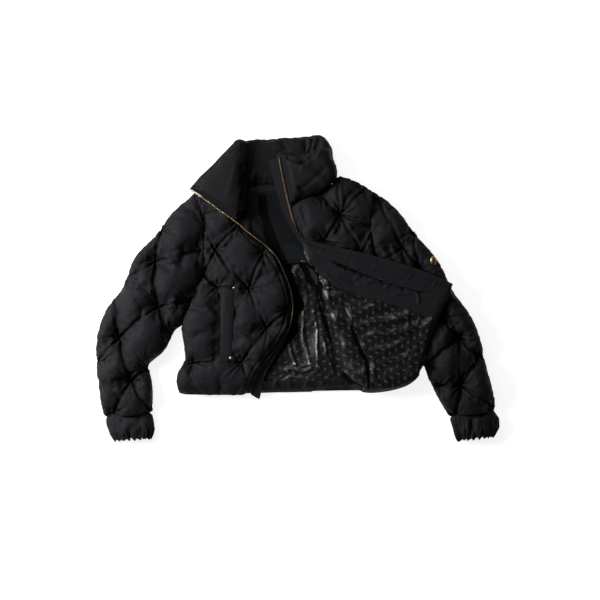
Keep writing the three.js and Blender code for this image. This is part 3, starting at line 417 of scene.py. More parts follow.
def puckers(plan, quilt, depth, seed):
    """The star of creases round each tuft, and the drawn-in cloth along the quilted lines."""
    height = np.zeros(len(plan))
    for i, tuft in enumerate(quilt):
        place = (tuft.x, tuft.y)
        ways = [math.atan2(quilt[k].y - tuft.y, quilt[k].x - tuft.x) for k in tuft.to]
        ways += [math.atan2(o.y - tuft.y, o.x - tuft.x) for o in quilt if i in o.to]
        rng = np.random.default_rng(seed * 100 + i)
        for k, way in enumerate(ways):
            long = 55 + 30 * rng.random()
            height += pucker(plan, place, way, long, 1.5 * depth, 1.9, 0.08 * (-1) ** k)
            height += pucker(plan, place, way + 0.3, 0.5 * long, 0.8 * depth, 1.6, 0.1)
        for k in range(RAYS):
            way = 2 * math.pi * (k + 0.8 * rng.random()) / RAYS + 0.7 * i
            length, part = 22 + 42 * rng.random() ** 1.5, 0.6 + 0.7 * rng.random()
            bend = 0.6 * (rng.random() - 0.5)
            height += pucker(plan, place, way, length, part * depth, 1.6, bend)
    lengths = [math.dist(*line) for line in quilt_lines(quilt)]
    for i, (strength, d, t) in enumerate(along_lines(plan, quilt)):
        bow = strength * (0.1 + 0.9 * np.abs(1 - 2 * t) ** 1.7)
        height -= 0.7 * depth * np.exp(-d / 1.8) * bow
        length = lengths[i]
        wave = np.sin(2 * math.pi * (t * length / 23 + 0.3 * i + d / 60)) * bell(d - 9, 9)
        height += 0.35 * wave * soft_step(0.02, 0.2, t) * soft_step(0.02, 0.2, 1 - t)
    return height


def channel(plan, line, away, depth, pitch):
    """A stitched channel beside a line, with small puckers across it."""
    d, t = to_line(plan, line)
    length = sum(math.dist(a[:2], b[:2]) for a, b in zip(line, line[1:]))
    trough = -depth * bell(d - away, 2.2)
    ends = (t > 0.001) & (t < 0.999)
    along = t * length
    ripple = np.sin(2 * math.pi * (along / pitch + 0.9 * np.sin(along / 31) + 0.5 * np.sin(along / 13)))
    uneven = 0.5 + 0.5 * np.sin(along / 17 + 1.3 * np.sin(along / 43))
    spread = bell(d - away - 3.5, 5)
    return (trough - 0.34 * depth * np.maximum(ripple, 0) ** 2 * uneven * spread) * ends


# Meshes

def vertex_values(mesh, name):
    flat = np.zeros(len(mesh.vertices) * 3)
    mesh.vertices.foreach_get(name, flat)
    return flat.reshape(-1, 3)


def points_of(mesh):
    return vertex_values(mesh, "co")


def normals_of(mesh):
    return vertex_values(mesh, "normal")


def move_points(mesh, points):
    mesh.vertices.foreach_set("co", points.astype(np.float32).ravel())
    mesh.update()


def plan_of(points):
    """The tables' x and y of points in the frame."""
    return points[:, :2] / MM - ORIGIN


def in_frame(x, y, z):
    return Vector(((x + ORIGIN[0]) * MM, (y + ORIGIN[1]) * MM, z * MM))


def merged_copy(node):
    """A CAD node's mesh with its loose triangles joined."""
    source = frame["nodes"][node].data
    bm = bmesh.new()
    for vertex in source.vertices:
        bm.verts.new(vertex.co)
    bm.verts.ensure_lookup_table()
    for polygon in source.polygons:
        bm.faces.new([bm.verts[i] for i in polygon.vertices])
    bmesh.ops.remove_doubles(bm, verts=bm.verts, dist=0.00001)
    return bm


def mesh_from(bm, name):
    mesh = bpy.data.meshes.new(name)
    bm.to_mesh(mesh)
    bm.free()
    return mesh


def new_object(name, data, material=None):
    obj = bpy.data.objects.new(name, data)
    bpy.context.scene.collection.objects.link(obj)
    if material:
        data.materials.clear()
        data.materials.append(material)
    return obj


def evaluated_mesh(obj):
    """The mesh that the object's modifiers give."""
    graph = bpy.context.evaluated_depsgraph_get()
    return bpy.data.meshes.new_from_object(obj.evaluated_get(graph))


def make_plain(obj):
    """Applies the object's modifiers."""
    mesh = evaluated_mesh(obj)
    obj.modifiers.clear()
    obj.data = mesh


def smooth(mesh):
    mesh.polygons.foreach_set("use_smooth", [True] * len(mesh.polygons))


def finish_piece(obj, nodes):
    """Rides the body, and stands for its nodes, which it hides."""
    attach(obj, "root")
    if nodes:
        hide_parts(*nodes)


def tree_of(nodes):
    """What a ray can hit of some CAD nodes."""
    points, faces = [], []
    for node in nodes:
        mesh = frame["nodes"][node].data
        start = len(points)
        points += [vertex.co.copy() for vertex in mesh.vertices]
        faces += [[start + i for i in polygon.vertices] for polygon in mesh.polygons]
    return BVHTree.FromPolygons(points, faces)


def under(points, tree, reach):
    """Which points have one of the tree's faces above them, within reach."""
    up = Vector((0, 0, 1))
    hits = [tree.ray_cast(Vector(p) - up * 0.004, up, reach)[0] is not None for p in points]
    return np.array(hits)


# Padded pieces

# Each one's size of squares in m, its quilting, what lies on it, and how far it may swell in mm
Padded = namedtuple("Padded", "node voxel quilt skins swell seed")
PADDED = [
    Padded("right_front", 0.0054, RIGHT_FRONT_QUILT, ["right_pocket_welt"], 9, 3),
    Padded("left_front", 0.0056, CHEST_QUILT, [
        "left_facing", "left_front_lining", "left_hem_facing", "left_placket",
    ], 9, 5),
    Padded("right_sleeve", 0.0054, RIGHT_SLEEVE_QUILT, [], 10, 7),
    Padded("left_sleeve", 0.0054, LEFT_SLEEVE_QUILT, ["left_placket", "left_front"], 10, 11),
    Padded("collar", 0.0050, [], [], 4, 13),
    Padded("back", 0.0060, [], ["back_lining", "neck_facing", "back_hem_facing"], 0, 17),
]
# The level that no quilted line is drawn below, in mm
SEAM_LEVEL = {"right_front": 29, "left_front": 29, "right_sleeve": 20, "left_sleeve": 18}


def fit_edges(node, points, grown):
    """Moves the edges of a padded piece to where they lie in the photograph."""
    plan = plan_of(points)
    x, y = plan.T
    if node == "back":  # rises behind the neck to meet the collar
        neck = np.exp(-(((points[:, 0] + 0.075) / 0.06) ** 4))
        grown[:, 1] += 16 * MM * neck * soft_step(0.2, 0.222, points[:, 1])
    if node == "collar":  # its folded end reaches the teeth
        to_zip, _ = way_to(plan, RIGHT_ZIP[:5])
        d = np.hypot(*to_zip.T)
        reach = 8 * (1 - soft_step(14, 42, d)) * (d > 3) * soft_step(0.012, 0.026, points[:, 2])
        reach = np.minimum(reach, np.maximum(d - 5.5, 0))
        grown[:, :2] += to_zip / np.maximum(d, 1)[:, None] * reach[:, None] * MM
    if node == "right_sleeve":  # its top fills the shoulder
        top = bell(x + 232, 20) * soft_step(165, 200, y)
        grown[:, 1] += 8 * MM * top
    if node == "left_front":  # its shoulder is fuller, and it lies low under the zip
        shoulder = np.exp(-(((x - 122) / 42) ** 4)) * soft_step(215, 248, y)
        grown[:, 1] += 11 * MM * shoulder
        d, _ = to_line(plan, LEFT_ZIP[2:])
        grown[:, 2] -= 9 * MM * (1 - soft_step(6, 20, d)) * soft_step(0.022, 0.03, points[:, 2])


def even_mesh(piece):
    """A closed mesh of even squares over a CAD node."""
    obj = new_object(piece.node + "_cloth", mesh_from(merged_copy(piece.node), piece.node))
    remesh = obj.modifiers.new("Even squares", "REMESH")
    remesh.mode = "VOXEL"
    remesh.voxel_size = piece.voxel
    make_plain(obj)
    relax = obj.modifiers.new("Relax", "SMOOTH")
    relax.iterations = 4
    relax.factor = 0.5
    make_plain(obj)
    points = points_of(obj.data)
    grown = points + normals_of(obj.data) * np.array([3.0, 3.0, 1.5]) * MM
    fit_edges(piece.node, points, grown)
    grown[:, 2] = np.maximum(grown[:, 2], 0)
    move_points(obj.data, grown)
    return obj


def weighted(obj, weights):
    group = obj.vertex_groups.new(name="Held")
    steps = np.round(np.clip(weights, 0, 1) * 10).astype(int)
    for step in range(1, 11):
        group.add([int(i) for i in np.nonzero(steps == step)[0]], step / 10, "REPLACE")
    return group.name


def quilted(obj, piece):
    """Sinks what is covered, draws the quilting in, and returns how firmly each point is held."""
    points = points_of(obj.data)
    up = normals_of(obj.data)[:, 2]
    held = 1 - soft_step(-0.15, 0.35, up)
    if piece.skins:
        covered = under(points, tree_of(piece.skins), 0.03) & (up > 0)
        held = np.where(covered, 1, held)
        sink = 3.2
        if piece.node == "back":
            sink = 4 + 7 * soft_step(-226, -200, plan_of(points)[:, 1])
        if piece.node != "left_sleeve":
            points[:, 2] = np.where(covered, np.maximum(points[:, 2] - sink * MM, MM), points[:, 2])
    if piece.quilt:
        drawn, tuft = quilting(plan_of(points), piece.quilt, 8)
        top = soft_step(0.1, 0.6, up)
        room = np.clip(points[:, 2] / MM - SEAM_LEVEL[piece.node], 0, None)
        dip = 2.2 * drawn + 7.5 * bell(tuft, 9)
        free = ~covered if piece.skins else True
        points[:, 2] -= np.minimum(dip, 0.65 * room) * top * free * MM
        rise = 7.0 * filled_middles(plan_of(points), piece.quilt, 11) * soft_step(6, 22, tuft)
        points[:, 2] += rise * top * free * MM
        held = np.maximum(held, bell(tuft, 6))
        narrow = quilting(plan_of(points), piece.quilt, 3.5)[0]
        held = np.maximum(held, 0.35 * narrow)
    move_points(obj.data, points)
    return held


def add_cloth(obj, held, settings):
    cloth = obj.modifiers.new("Padding", "CLOTH")
    cloth.settings.quality = 5
    cloth.settings.mass = 0.3
    cloth.settings.tension_stiffness = 12
    cloth.settings.compression_stiffness = 8
    cloth.settings.shear_stiffness = 4
    cloth.settings.bending_stiffness = 0.25
    cloth.settings.use_pressure = True
    cloth.settings.uniform_pressure_force = settings.pressure
    cloth.settings.shrink_min = -settings.looseness
    cloth.settings.vertex_group_mass = weighted(obj, held)
    cloth.settings.effector_weights.gravity = 0
    cloth.collision_settings.use_collision = False
    cloth.point_cache.frame_start = 1
    cloth.point_cache.frame_end = MOMENTS


def swell(obj, before, limit):
    """Keeps the simulated points within a limit of where they started."""
    moved = points_of(evaluated_mesh(obj)) - before
    far = np.linalg.norm(moved, axis=1)
    keep = limit * MM * np.tanh(far / (limit * MM)) / np.maximum(far, 1e-9)
    obj.modifiers.clear()
    obj.vertex_groups.clear()
    move_points(obj.data, before + moved * keep[:, None])


def lower_at(points, zip_line, free, slope):
    """Lowers the padding that would cover a zip."""
    d, t = to_line(plan_of(points), zip_line)
    level = np.interp(t * (len(zip_line) - 1), range(len(zip_line)), [p.z for p in zip_line])
    points[:, 2] = np.minimum(points[:, 2], (level - 1 + slope * np.maximum(d - free, 0)) * MM)


def divide(obj, levels=1):
    fine = obj.modifiers.new("Fine", "SUBSURF")
    fine.levels = fine.render_levels = levels
    make_plain(obj)


def divide_top(obj, hidden):
    """Divides the faces that look up, apart from hidden ones, once more."""
    bm = bmesh.new()
    bm.from_mesh(obj.data)
    middles = np.array([face.calc_center_median() for face in bm.faces])
    looks_up = np.array([face.normal.z for face in bm.faces]) > 0.12
    if hidden:
        lows = middles - np.array([0, 0, 0.002])
        looks_up &= ~under(lows, tree_of(hidden), 0.05)
    edges = {edge for face, up in zip(bm.faces, looks_up) if up for edge in face.edges}
    bmesh.ops.subdivide_edges(bm, edges=list(edges), cuts=1, smooth=0.35, use_grid_fill=True)
    bm.to_mesh(obj.data)
    bm.free()


def add_creases(obj, piece, settings):
    """Adds the crisp creases that are too fine for the simulation."""
    points, normals = points_of(obj.data), normals_of(obj.data)
    plan = plan_of(points)
    top = soft_step(0.0, 0.5, normals[:, 2])
    slant = plan @ np.array([[0.8, -0.6], [0.6, 0.8]])
    height = 0.5 * unevenness(slant, 31, piece.seed) + 0.15 * unevenness(slant, 12, piece.seed + 1)
    if piece.quilt:
        height += puckers(plan, piece.quilt, settings.pucker_depth / MM, piece.seed)
    if piece.node == "right_front":
        height += channel(plan, RIGHT_ZIP[4:], 13, 2.2, 17)
        height += channel(plan, [(-232, -200), (-125, -228)], 0, 1.2, 19)
    if piece.node == "collar":
        height += channel(plan, RIGHT_ZIP[:5], 14, 2.4, 8)
        height += channel(plan, LEFT_ZIP, 11, 2.6, 16)
        height += creased(plan, COLLAR_CREASES)
    points += normals * (height * top * MM)[:, None]
    if piece.node in ("collar", "left_front"):
        lower_at(points, LEFT_ZIP, 5 if piece.node == "collar" else 4, 2.4)
    if piece.node == "collar":
        lower_at(points, RIGHT_ZIP[:5], 4.5, 1.6)
    move_points(obj.data, points)
    smooth(obj.data)


# Thin cloth

SKIN_LEVELS = 3
# Each one's creases, the height and size of its small unevenness in mm, its surface and its flat cut in m
Skin = namedtuple("Skin", "node creases crumple size material flat area")
SKINS = [
    Skin("back_lining", BACK_LINING_CREASES, 1.6, 30, "Back lining", (0.24, 0.3), 0.064),
    Skin("left_front_lining", FRONT_LINING_CREASES, 2.4, 26, "Front lining", (0.31, 0.33), 0.0515),
    Skin("neck_facing", [], 0.5, 40, "Neck facing", (0.15, 0.18), 0.0255),
    Skin("back_hem_facing", BACK_HEM_CREASES, 1.2, 14, "Facing", (0.25, 0.035), 0.0074),
    Skin("left_facing", FACING_CREASES, 0.8, 34, "Facing", (0.33, 0.1), 0.0155),
    Skin("left_hem_facing", [], 0.9, 22, "Facing", (0.19, 0.035), 0.0029),
    Skin("left_placket", PLACKET_CREASES, 0.35, 22, "Facing", (0.38, 0.05), 0.015),
    Skin("left_collar_placket", [], 0.3, 26, "Facing", (0.18, 0.025), 0.0036),
    Skin("right_placket", [], 0.3, 26, "Facing", (0.2, 0.022), 0.0029),
    Skin("care_label", [], 0.5, 9, "Label", (0.012, 0.042), 0.0003),
]


def fine_skin(node):
    """A thin piece's mesh, divided evenly with its edges kept sharp."""
    bm = merged_copy(node)
    bmesh.ops.join_triangles(
        bm, faces=bm.faces, angle_face_threshold=1.2, angle_shape_threshold=1.2,
        cmp_seam=False, cmp_sharp=False, cmp_uvs=False, cmp_vcols=False, cmp_materials=False,
    )
    layer = bm.edges.layers.float.new("crease_edge")
    for edge in bm.edges:
        if len(edge.link_faces) == 2 and edge.calc_face_angle() > SHARP_ANGLE:
            edge[layer] = 1.0
    obj = new_object(node + "_cloth", mesh_from(bm, node))
    divide(obj, SKIN_LEVELS)
    return obj


def in_painted_shade(plan, node):
    """Which places get painted shade: a deep fold, or the shadow of the right front's edge."""
    rough = 1 + 0.3 * unevenness(plan, 13, 83)
    dark = np.zeros(len(plan), bool)
    for fold in PAINTED_SHADE_FOLDS:
        d, t = to_line(plan, fold.line)
        dark |= d < rough * np.interp(t, np.linspace(0, 1, len(fold.widths)), fold.widths)
    # painted shadow of the right front's raised edge, on the back lining beside the zip
    if node == "back_lining":
        dark |= to_line(plan, RIGHT_ZIP)[0] < 21 + 7 * unevenness(plan, 34, 85)
    return dark


def seam_gape(plan):
    """How far the placket's seam gapes beside each point, and how close the point is to it."""
    d, t = to_line(plan, PLACKET_EDGE)
    gape = sum(gap.amount * bell(t - gap.place, gap.spread) for gap in PLACKET_GAPS)
    return d, t, gape


def laid_on(name, points, normals):
    """Lays a thin strip's two sides on another cloth."""
    below = bpy.data.objects[name]
    for place, normal in zip(points, normals):
        hit, found, _, _ = below.ray_cast(Vector((place[0], place[1], 0.2)), Vector((0, 0, -1)))
        if hit:
            place[2] = found.z + (1.3 if normal[2] > 0 else 0.5) * MM
    return points


def neck_inner(plan):
    """How far each place of the neck facing lies on the collar's side of the fold, 0 to 1."""
    beside = plan[:, 0] - across_at(NECK_FOLD, plan[:, 1])
    return soft_step(-19, -30, beside) * soft_step(60, 90, plan[:, 1])


def fit_skin(node, points, plan, normals):
    """Moves a thin piece to where its edges and its seams lie in the photograph."""
    x, y = plan.T
    if node == "left_front_lining":  # reaches round the padding that it covers
        points += normals * np.array([2.2, 2.2, 0.4]) * MM
        points[:, :2] += normals[:, :2] * (2 * soft_step(-90, -190, y) * MM)[:, None]
    if node == "left_collar_placket":  # turns with the front, and stays off the teeth
        turn = soft_step(185, 132, y)[:, None]
        points += turn ** 1.5 * np.array([19, -21, 0]) * MM + turn ** 3 * np.array([0, 0, 22]) * MM
        moved = plan_of(points)
        beside = across_at(LEFT_ZIP, moved[:, 1]) - 3.4
        points[:, 0] -= np.maximum(moved[:, 0] - beside, 0) * (moved[:, 1] > 132) * MM
    if node == "right_placket":  # its tip hangs below the hem
        points[:, 1] -= 17 * MM * soft_step(-200, -235, y)
    if node == "neck_facing":  # goes on under the collar, and lies deep in the opening
        points -= soft_step(-78, -108, x)[:, None] * np.array([26, 0, 3]) * MM
        points[:, 2] -= (10 * soft_step(66, 110, y) - 7 * neck_inner(plan)) * MM
    if node in ("left_placket", "left_facing"):  # they part where the seam gapes
        d, t, gape = seam_gape(plan)
        seam = soft_step(0.12, 0.26, t) * soft_step(0.97, 0.86, t)
        if node == "left_placket":
            edge = bell(d, 4)
            points[:, 1] += 2.6 * gape * edge * MM
            points[:, 2] += (1.2 + 1.2 * gape) * edge * seam * MM
        else:
            points[:, 2] -= (2.6 + 5.5 * gape) * bell(d, 3.6 + 3.2 * gape) * seam * MM
    if node == "back_hem_facing":  # its upper edge is uneven
        points[:, 1] += (11 + 3 * unevenness(plan, 26, 77)) * soft_step(-236, -220, y) * MM
    # a notch that goes through all at the hem
    notch = bell(x - 134, 15) * soft_step(-205, -232, y)
    points[:, 1] += 8 * notch * MM


def skin_height(skin, plan, crumple):
    """The height of a thin piece's creases, in mm."""
    x, y = plan.T
    lining = "lining" in skin.node
    amount = skin.crumple * crumple
    height = creased(plan, skin.creases, 0.3 if lining else 0.1)
    if skin.node == "neck_facing":
        height += 2.2 * neck_inner(plan) * unevenness(plan, 22, 79)
    if skin.node == "back_hem_facing":
        height += 3 * soft_step(-236, -220, y)
    if skin.node == "back_lining":  # it lies low in the shelter of the zip
        near_zip = 1 - soft_step(26, 120, to_line(plan, RIGHT_ZIP)[0])
        broad = 1.3 * loose_folds(plan, 0.12, 25, (1.0, 0.3), 71) * (1 - 0.7 * near_zip)
        height = (height + broad) * soft_step(-224, -190, y) - 8 * near_zip
    if skin.node == "left_front_lining":
        height += 2.8 * loose_folds(plan, 0.26, 17, (0.32, 1.0), 73) * soft_step(-236, -205, y)
        bright = bell(x - 235, 55) * bell(y + 75, 34)
        height += 1.3 * bright * sharp_ridges(plan, 8, 75) ** 1.5
    if lining:
        calm = 0.55 + 0.45 * unevenness(plan, 60, 19)
        height += amount * sharp_ridges(plan, skin.size, 21, (1.0, 0.55))
        height += 0.5 * amount * calm * sharp_ridges(plan, skin.size * 0.45, 23, (0.6, 1.0)) ** 1.5
        height += 0.28 * amount * calm * sharp_ridges(plan, skin.size * 0.22, 27, (0.8, 1.0)) ** 1.5
    else:
        height += 1.6 * amount * (0.5 + 0.5 * unevenness(plan, skin.size, 31))
        height += 0.3 * amount * unevenness(plan, skin.size * 0.35, 33)
    return height


def dress_skin(skin, settings):
    """Lays one thin piece with its creases."""
    obj = fine_skin(skin.node)
    points, normals = points_of(obj.data), normals_of(obj.data)
    plan = plan_of(points)
    fit_skin(skin.node, points, plan, normals)
    points[:, 2] += skin_height(skin, plan, settings.crumple) * MM
    if skin.node == "care_label":
        points = laid_on("left_front_lining_cloth", points + LABEL_SHIFT * MM, normals)
    move_points(obj.data, points)
    smooth(obj.data)
    obj.data.set_sharp_from_angle(angle=SHARP_ANGLE)
    return obj


def skin_surfaces(skin, mesh):
    """The surfaces of a thin piece, and which of them each of its faces takes."""
    middles = np.array([face.center for face in mesh.polygons])
    plan = plan_of(middles)
    names, kind = [skin.material], np.zeros(len(plan), np.int32)
    if skin.node == "left_front_lining":
        names.append("Quilted cloth")
        normals = np.array([face.normal for face in mesh.polygons])
        lower_edge = (middles[:, 1] < -0.2) & (middles[:, 0] > 0.15)
        kind[(normals[:, 2] < 0.8) & ((normals[:, 0] > -0.2) | lower_edge)] = 1
    if "lining" in skin.node:
        # near-black painted shade in the deep folds and in the zip's shadow
        names.append("Deep fold")
        kind[in_painted_shade(plan, skin.node)] = len(names) - 1
    if skin.node == "neck_facing":
        # past the neck fold: a band of painted shadow, then the collar's cloth
        names += ["Seam", "Collar"]
        past_fold = across_at(NECK_FOLD, plan[:, 1]) - plan[:, 0]
        kind[past_fold >= 0] = 1
        kind[past_fold >= NECK_SHADOW_WIDTH] = 2
    if skin.node == "left_facing":
        # painted shadow under the placket's edge, wider where its seam gapes
        names.append("Seam")
        d, t, gape = seam_gape(plan)
        kind[(d < 2.0 + 3.4 * gape) & (t > 0.2) & (t < 0.92)] = 1
    return names, kind


# Surfaces

def node_group(name, inputs, outputs):
    group = bpy.data.node_groups.new(name, "ShaderNodeTree")
    for label, kind, value in inputs:
        socket = group.interface.new_socket(label, in_out="INPUT", socket_type=kind)
        if value is not None:
            socket.default_value = value
    for label, kind in outputs:
        group.interface.new_socket(label, in_out="OUTPUT", socket_type=kind)
    return group, group.nodes.new("NodeGroupInput"), group.nodes.new("NodeGroupOutput")


def math_node(tree, operation, a, b=0.0, c=0.0):
    node = tree.nodes.new("ShaderNodeMath")
    node.operation = operation
    for socket, value in zip(node.inputs, (a, b, c)):
        if isinstance(value, (int, float)):
            socket.default_value = value
        else:
            tree.links.new(value, socket)
    return node.outputs[0]


def noise(tree, place, scale, detail, kind="FBM"):
    node = tree.nodes.new("ShaderNodeTexNoise")
    node.noise_type = kind
    node.inputs["Scale"].default_value = scale
    node.inputs["Detail"].default_value = detail
    tree.links.new(place, node.inputs["Vector"])
    return node.outputs["Fac"]


def weave_group():
    """Crossing threads and slight unevenness, for every woven cloth."""
    group, given, out = node_group(
        "Woven threads",
        [("Vector", "NodeSocketVector", None), ("Threads per metre", "NodeSocketFloat", 2400.0)],
        [("Height", "NodeSocketFloat"), ("Unevenness", "NodeSocketFloat")],
    )
    split = group.nodes.new("ShaderNodeSeparateXYZ")
    group.links.new(given.outputs["Vector"], split.inputs[0])
    waves = []
    for axis in (0, 1):
        turned = math_node(group, "MULTIPLY", split.outputs[axis], given.outputs["Threads per metre"])
        waves.append(math_node(group, "SINE", math_node(group, "MULTIPLY", turned, math.pi)))
    crossing = math_node(group, "MULTIPLY", waves[0], waves[1])
    group.links.new(crossing, out.inputs["Height"])
    group.links.new(noise(group, given.outputs["Vector"], 55.0, 5.0), out.inputs["Unevenness"])
    return group


def seed_pattern_group():
    """Small leaning seeds in offset rows over faint wavy stripes, as a woven pattern."""
    group, given, out = node_group(
        "Woven seeds",
        [("Vector", "NodeSocketVector", None), ("Rows per metre", "NodeSocketFloat", 110.0)],
        [("Mask", "NodeSocketFloat")],
    )

    def step(operation, *values):
        return math_node(group, operation, *values)

    split = group.nodes.new("ShaderNodeSeparateXYZ")
    group.links.new(given.outputs["Vector"], split.inputs[0])
    x, y = [step("MULTIPLY", split.outputs[axis], given.outputs["Rows per metre"]) for axis in (0, 1)]
    odd = step("FLOORED_MODULO", step("FLOOR", y), 2.0)
    left = step("SUBTRACT", step("FRACT", step("MULTIPLY_ADD", odd, 0.5, x)), 0.5)
    low = step("SUBTRACT", step("FRACT", y), 0.5)
    leaning = step("MULTIPLY", low, step("MULTIPLY_ADD", odd, 2.0, -1.0))
    long = step("MULTIPLY", step("ADD", left, leaning), 2.3)
    short = step("MULTIPLY", step("SUBTRACT", left, leaning), 4.0)
    size = step("ADD", step("POWER", long, 2.0), step("POWER", short, 2.0))
    seed = step("LESS_THAN", size, 0.9)
    wave = step("SINE", step("MULTIPLY", x, 2 * math.pi))
    bent = step("MULTIPLY_ADD", wave, 0.06, step("ABSOLUTE", low))
    stripe = step("MULTIPLY", step("GREATER_THAN", bent, 0.42), 0.22)
    group.links.new(step("MAXIMUM", seed, stripe), out.inputs["Mask"])
    return group


def object_place(tree, turn=0.0):
    place = tree.nodes.new("ShaderNodeTexCoord")
    mapping = tree.nodes.new("ShaderNodeMapping")
    mapping.inputs["Rotation"].default_value = (0, 0, turn)
    tree.links.new(place.outputs["Object"], mapping.inputs["Vector"])
    return mapping.outputs[0]


def new_material(name):
    material = bpy.data.materials.new(name)
    material.use_nodes = True
    return material, material.node_tree, material.node_tree.nodes["Principled BSDF"]


def ramp_between(tree, factor, dark, light):
    mix = tree.nodes.new("ShaderNodeMix")
    mix.data_type = "RGBA"
    mix.inputs[6].default_value = (*dark, 1)
    mix.inputs[7].default_value = (*light, 1)
    tree.links.new(factor, mix.inputs[0])
    return mix.outputs[2]


def use_group(tree, group, place, per_metre):
    """The outputs of a group at a place, which repeats so often in a metre."""
    node = tree.nodes.new("ShaderNodeGroup")
    node.node_tree = group
    node.inputs[1].default_value = per_metre
    tree.links.new(place, node.inputs["Vector"])
    return node.outputs


def dress_shader(tree, shader, colour, gloss, height=None, distance=0.001):
    """Links a colour, a roughness and a height to a shader."""
    tree.links.new(colour, shader.inputs["Base Color"])
    tree.links.new(gloss, shader.inputs["Roughness"])
    if height is not None:
        bump = tree.nodes.new("ShaderNodeBump")
        bump.inputs["Strength"].default_value = 0.5
        bump.inputs["Distance"].default_value = distance
        tree.links.new(height, bump.inputs["Height"])
        tree.links.new(bump.outputs[0], shader.inputs["Normal"])


# Its two colours, its range of roughness, its threads in a metre, its wrinkles and how it reflects
Cloth = namedtuple("Cloth", "name dark light rough threads wrinkle shine")


def cloth_material(cloth, weave):
    """A plain woven cloth: two near colours, an uneven gloss, threads and small wrinkles."""
    _, tree, shader = new_material(cloth.name)
    place = object_place(tree, 0.4)
    woven = use_group(tree, weave, place, cloth.threads)
    uneven = woven["Unevenness"]
    low, high = cloth.rough
    gloss = math_node(tree, "MULTIPLY_ADD", uneven, high - low, low)
    threads = math_node(tree, "MULTIPLY_ADD", woven["Height"], 0.05, 0.0)
    height = math_node(tree, "MULTIPLY_ADD", noise(tree, place, 95.0, 3.0), cloth.wrinkle, threads)
    dress_shader(tree, shader, ramp_between(tree, uneven, cloth.dark, cloth.light), gloss, height)
    shader.inputs["Specular IOR Level"].default_value = cloth.shine


def lining_material(name, weave, seeds, settings, turn):
    """A glossy black lining with a small woven pattern and sharp little creases."""
    _, tree, shader = new_material(name)
    place = object_place(tree, turn)
    mask = use_group(tree, seeds, place, 1 / settings.pattern_size)["Mask"]
    light = [brighter * c for brighter, c in zip((7.8, 7.4, 7.2), settings.colour)]
    gloss = math_node(tree, "MULTIPLY_ADD", mask, -0.05, settings.roughness)
    threads = math_node(tree, "MULTIPLY_ADD", use_group(tree, weave, place, 1900.0)["Height"], 0.01, 0.0)
    crumple = noise(tree, place, 38.0, 1.5, "RIDGED_MULTIFRACTAL")
    height = math_node(tree, "MULTIPLY_ADD", crumple, 1.5, threads)
    dress_shader(tree, shader, ramp_between(tree, mask, settings.colour, light), gloss, height, 0.0012)
    shader.inputs["Specular IOR Level"].default_value = 0.38


def metal_material(name, colour, roughness):
    """Polished gold-coloured metal with faint wear."""
    _, tree, shader = new_material(name)
    wear = noise(tree, object_place(tree), 260.0, 4.0)
    gloss = math_node(tree, "MULTIPLY_ADD", wear, 0.16, roughness - 0.08)
    dress_shader(tree, shader, ramp_between(tree, wear, [0.72 * c for c in colour], colour), gloss)
    shader.inputs["Metallic"].default_value = 1.0


def surfaces():
    """Every material of the jacket, made once."""
    if "Quilted cloth" in bpy.data.materials:
        return bpy.data.materials
    scene = bpy.context.scene
    shell, lining, trim = scene.jacket_shell, scene.jacket_lining, scene.jacket_trim
    weave, seeds = weave_group(), seed_pattern_group()
    outer = (shell.roughness, shell.roughness + 0.1)

    def shades(*shares):
        return [[share * c for c in shell.colour] for share in shares]

    for cloth in (
        Cloth("Quilted cloth", *shades(0.85, 1.2), outer, 2300, 0.3, 0.12),
        # the shell's own cloth darkened on the collar: painted shade
        Cloth("Collar", *shades(0.64, 0.92), outer, 2300, 0.3, 0.12),
        Cloth("Facing", *shades(1.05, 1.365), (0.5, 0.6), 2100, 0.5, 0.12),
        # the neck facing's own bluish cloth, darkened further as painted shade in the neck opening
        Cloth("Neck facing", (0.0022, 0.0026, 0.0033), (0.0038, 0.0048, 0.0062), (0.42, 0.5), 2100, 0.3,
              0.12),
        # near black with little gloss: painted shade for deep folds and cast shadows
        Cloth("Deep fold", (0.0012, 0.0011, 0.0012), (0.0022, 0.002, 0.0021), (0.6, 0.7), 2100, 0.3, 0.015),
        # near black with little gloss: painted shadow along the neck fold and under the placket's seam
        Cloth("Seam", (0.0014, 0.0014, 0.0017), (0.0022, 0.0022, 0.0025), (0.7, 0.8), 2100, 0.2, 0.03),
        Cloth("Zip tape", (0.004, 0.004, 0.0045), (0.008, 0.008, 0.009), (0.7, 0.8), 1500, 0.2, 0.12),
        Cloth("Thread", (0.002, 0.002, 0.0025), (0.004, 0.004, 0.0045), (0.5, 0.6), 3000, 0.1, 0.12),
        Cloth("Label", (0.07, 0.085, 0.105), (0.1, 0.12, 0.15), (0.55, 0.65), 2500, 0.3, 0.12),
    ):
        cloth_material(cloth, weave)
    lining_material("Back lining", weave, seeds, lining, 0.35)
    lining_material("Front lining", weave, seeds, lining, -0.55)
    metal_material("Gold", trim.colour, trim.roughness)
    return bpy.data.materials


# Settings a user can change

class JacketShell(bpy.types.PropertyGroup):
    colour: FloatVectorProperty(
        name="Colour", description="Colour of the outer cloth", subtype="COLOR", size=3,
        min=0, max=1, default=(0.0085, 0.0087, 0.0102),
    )
    roughness: FloatProperty(
        name="Roughness", description="How matte the outer cloth is", subtype="FACTOR",
        min=0, max=1, default=0.64,
    )
    pressure: FloatProperty(
        name="Filling", description="Pressure of the padding against the cloth", min=0, max=20, default=5,
    )
    looseness: FloatProperty(
        name="Looseness", description="How much larger the cloth is than the padding under it",
        subtype="FACTOR", min=0, max=0.3, default=0.09,
    )
    pucker_depth: FloatProperty(
        name="Pucker depth", description="Depth of the creases round each tuft", unit="LENGTH",
        min=0, max=0.01, default=0.0031,
    )


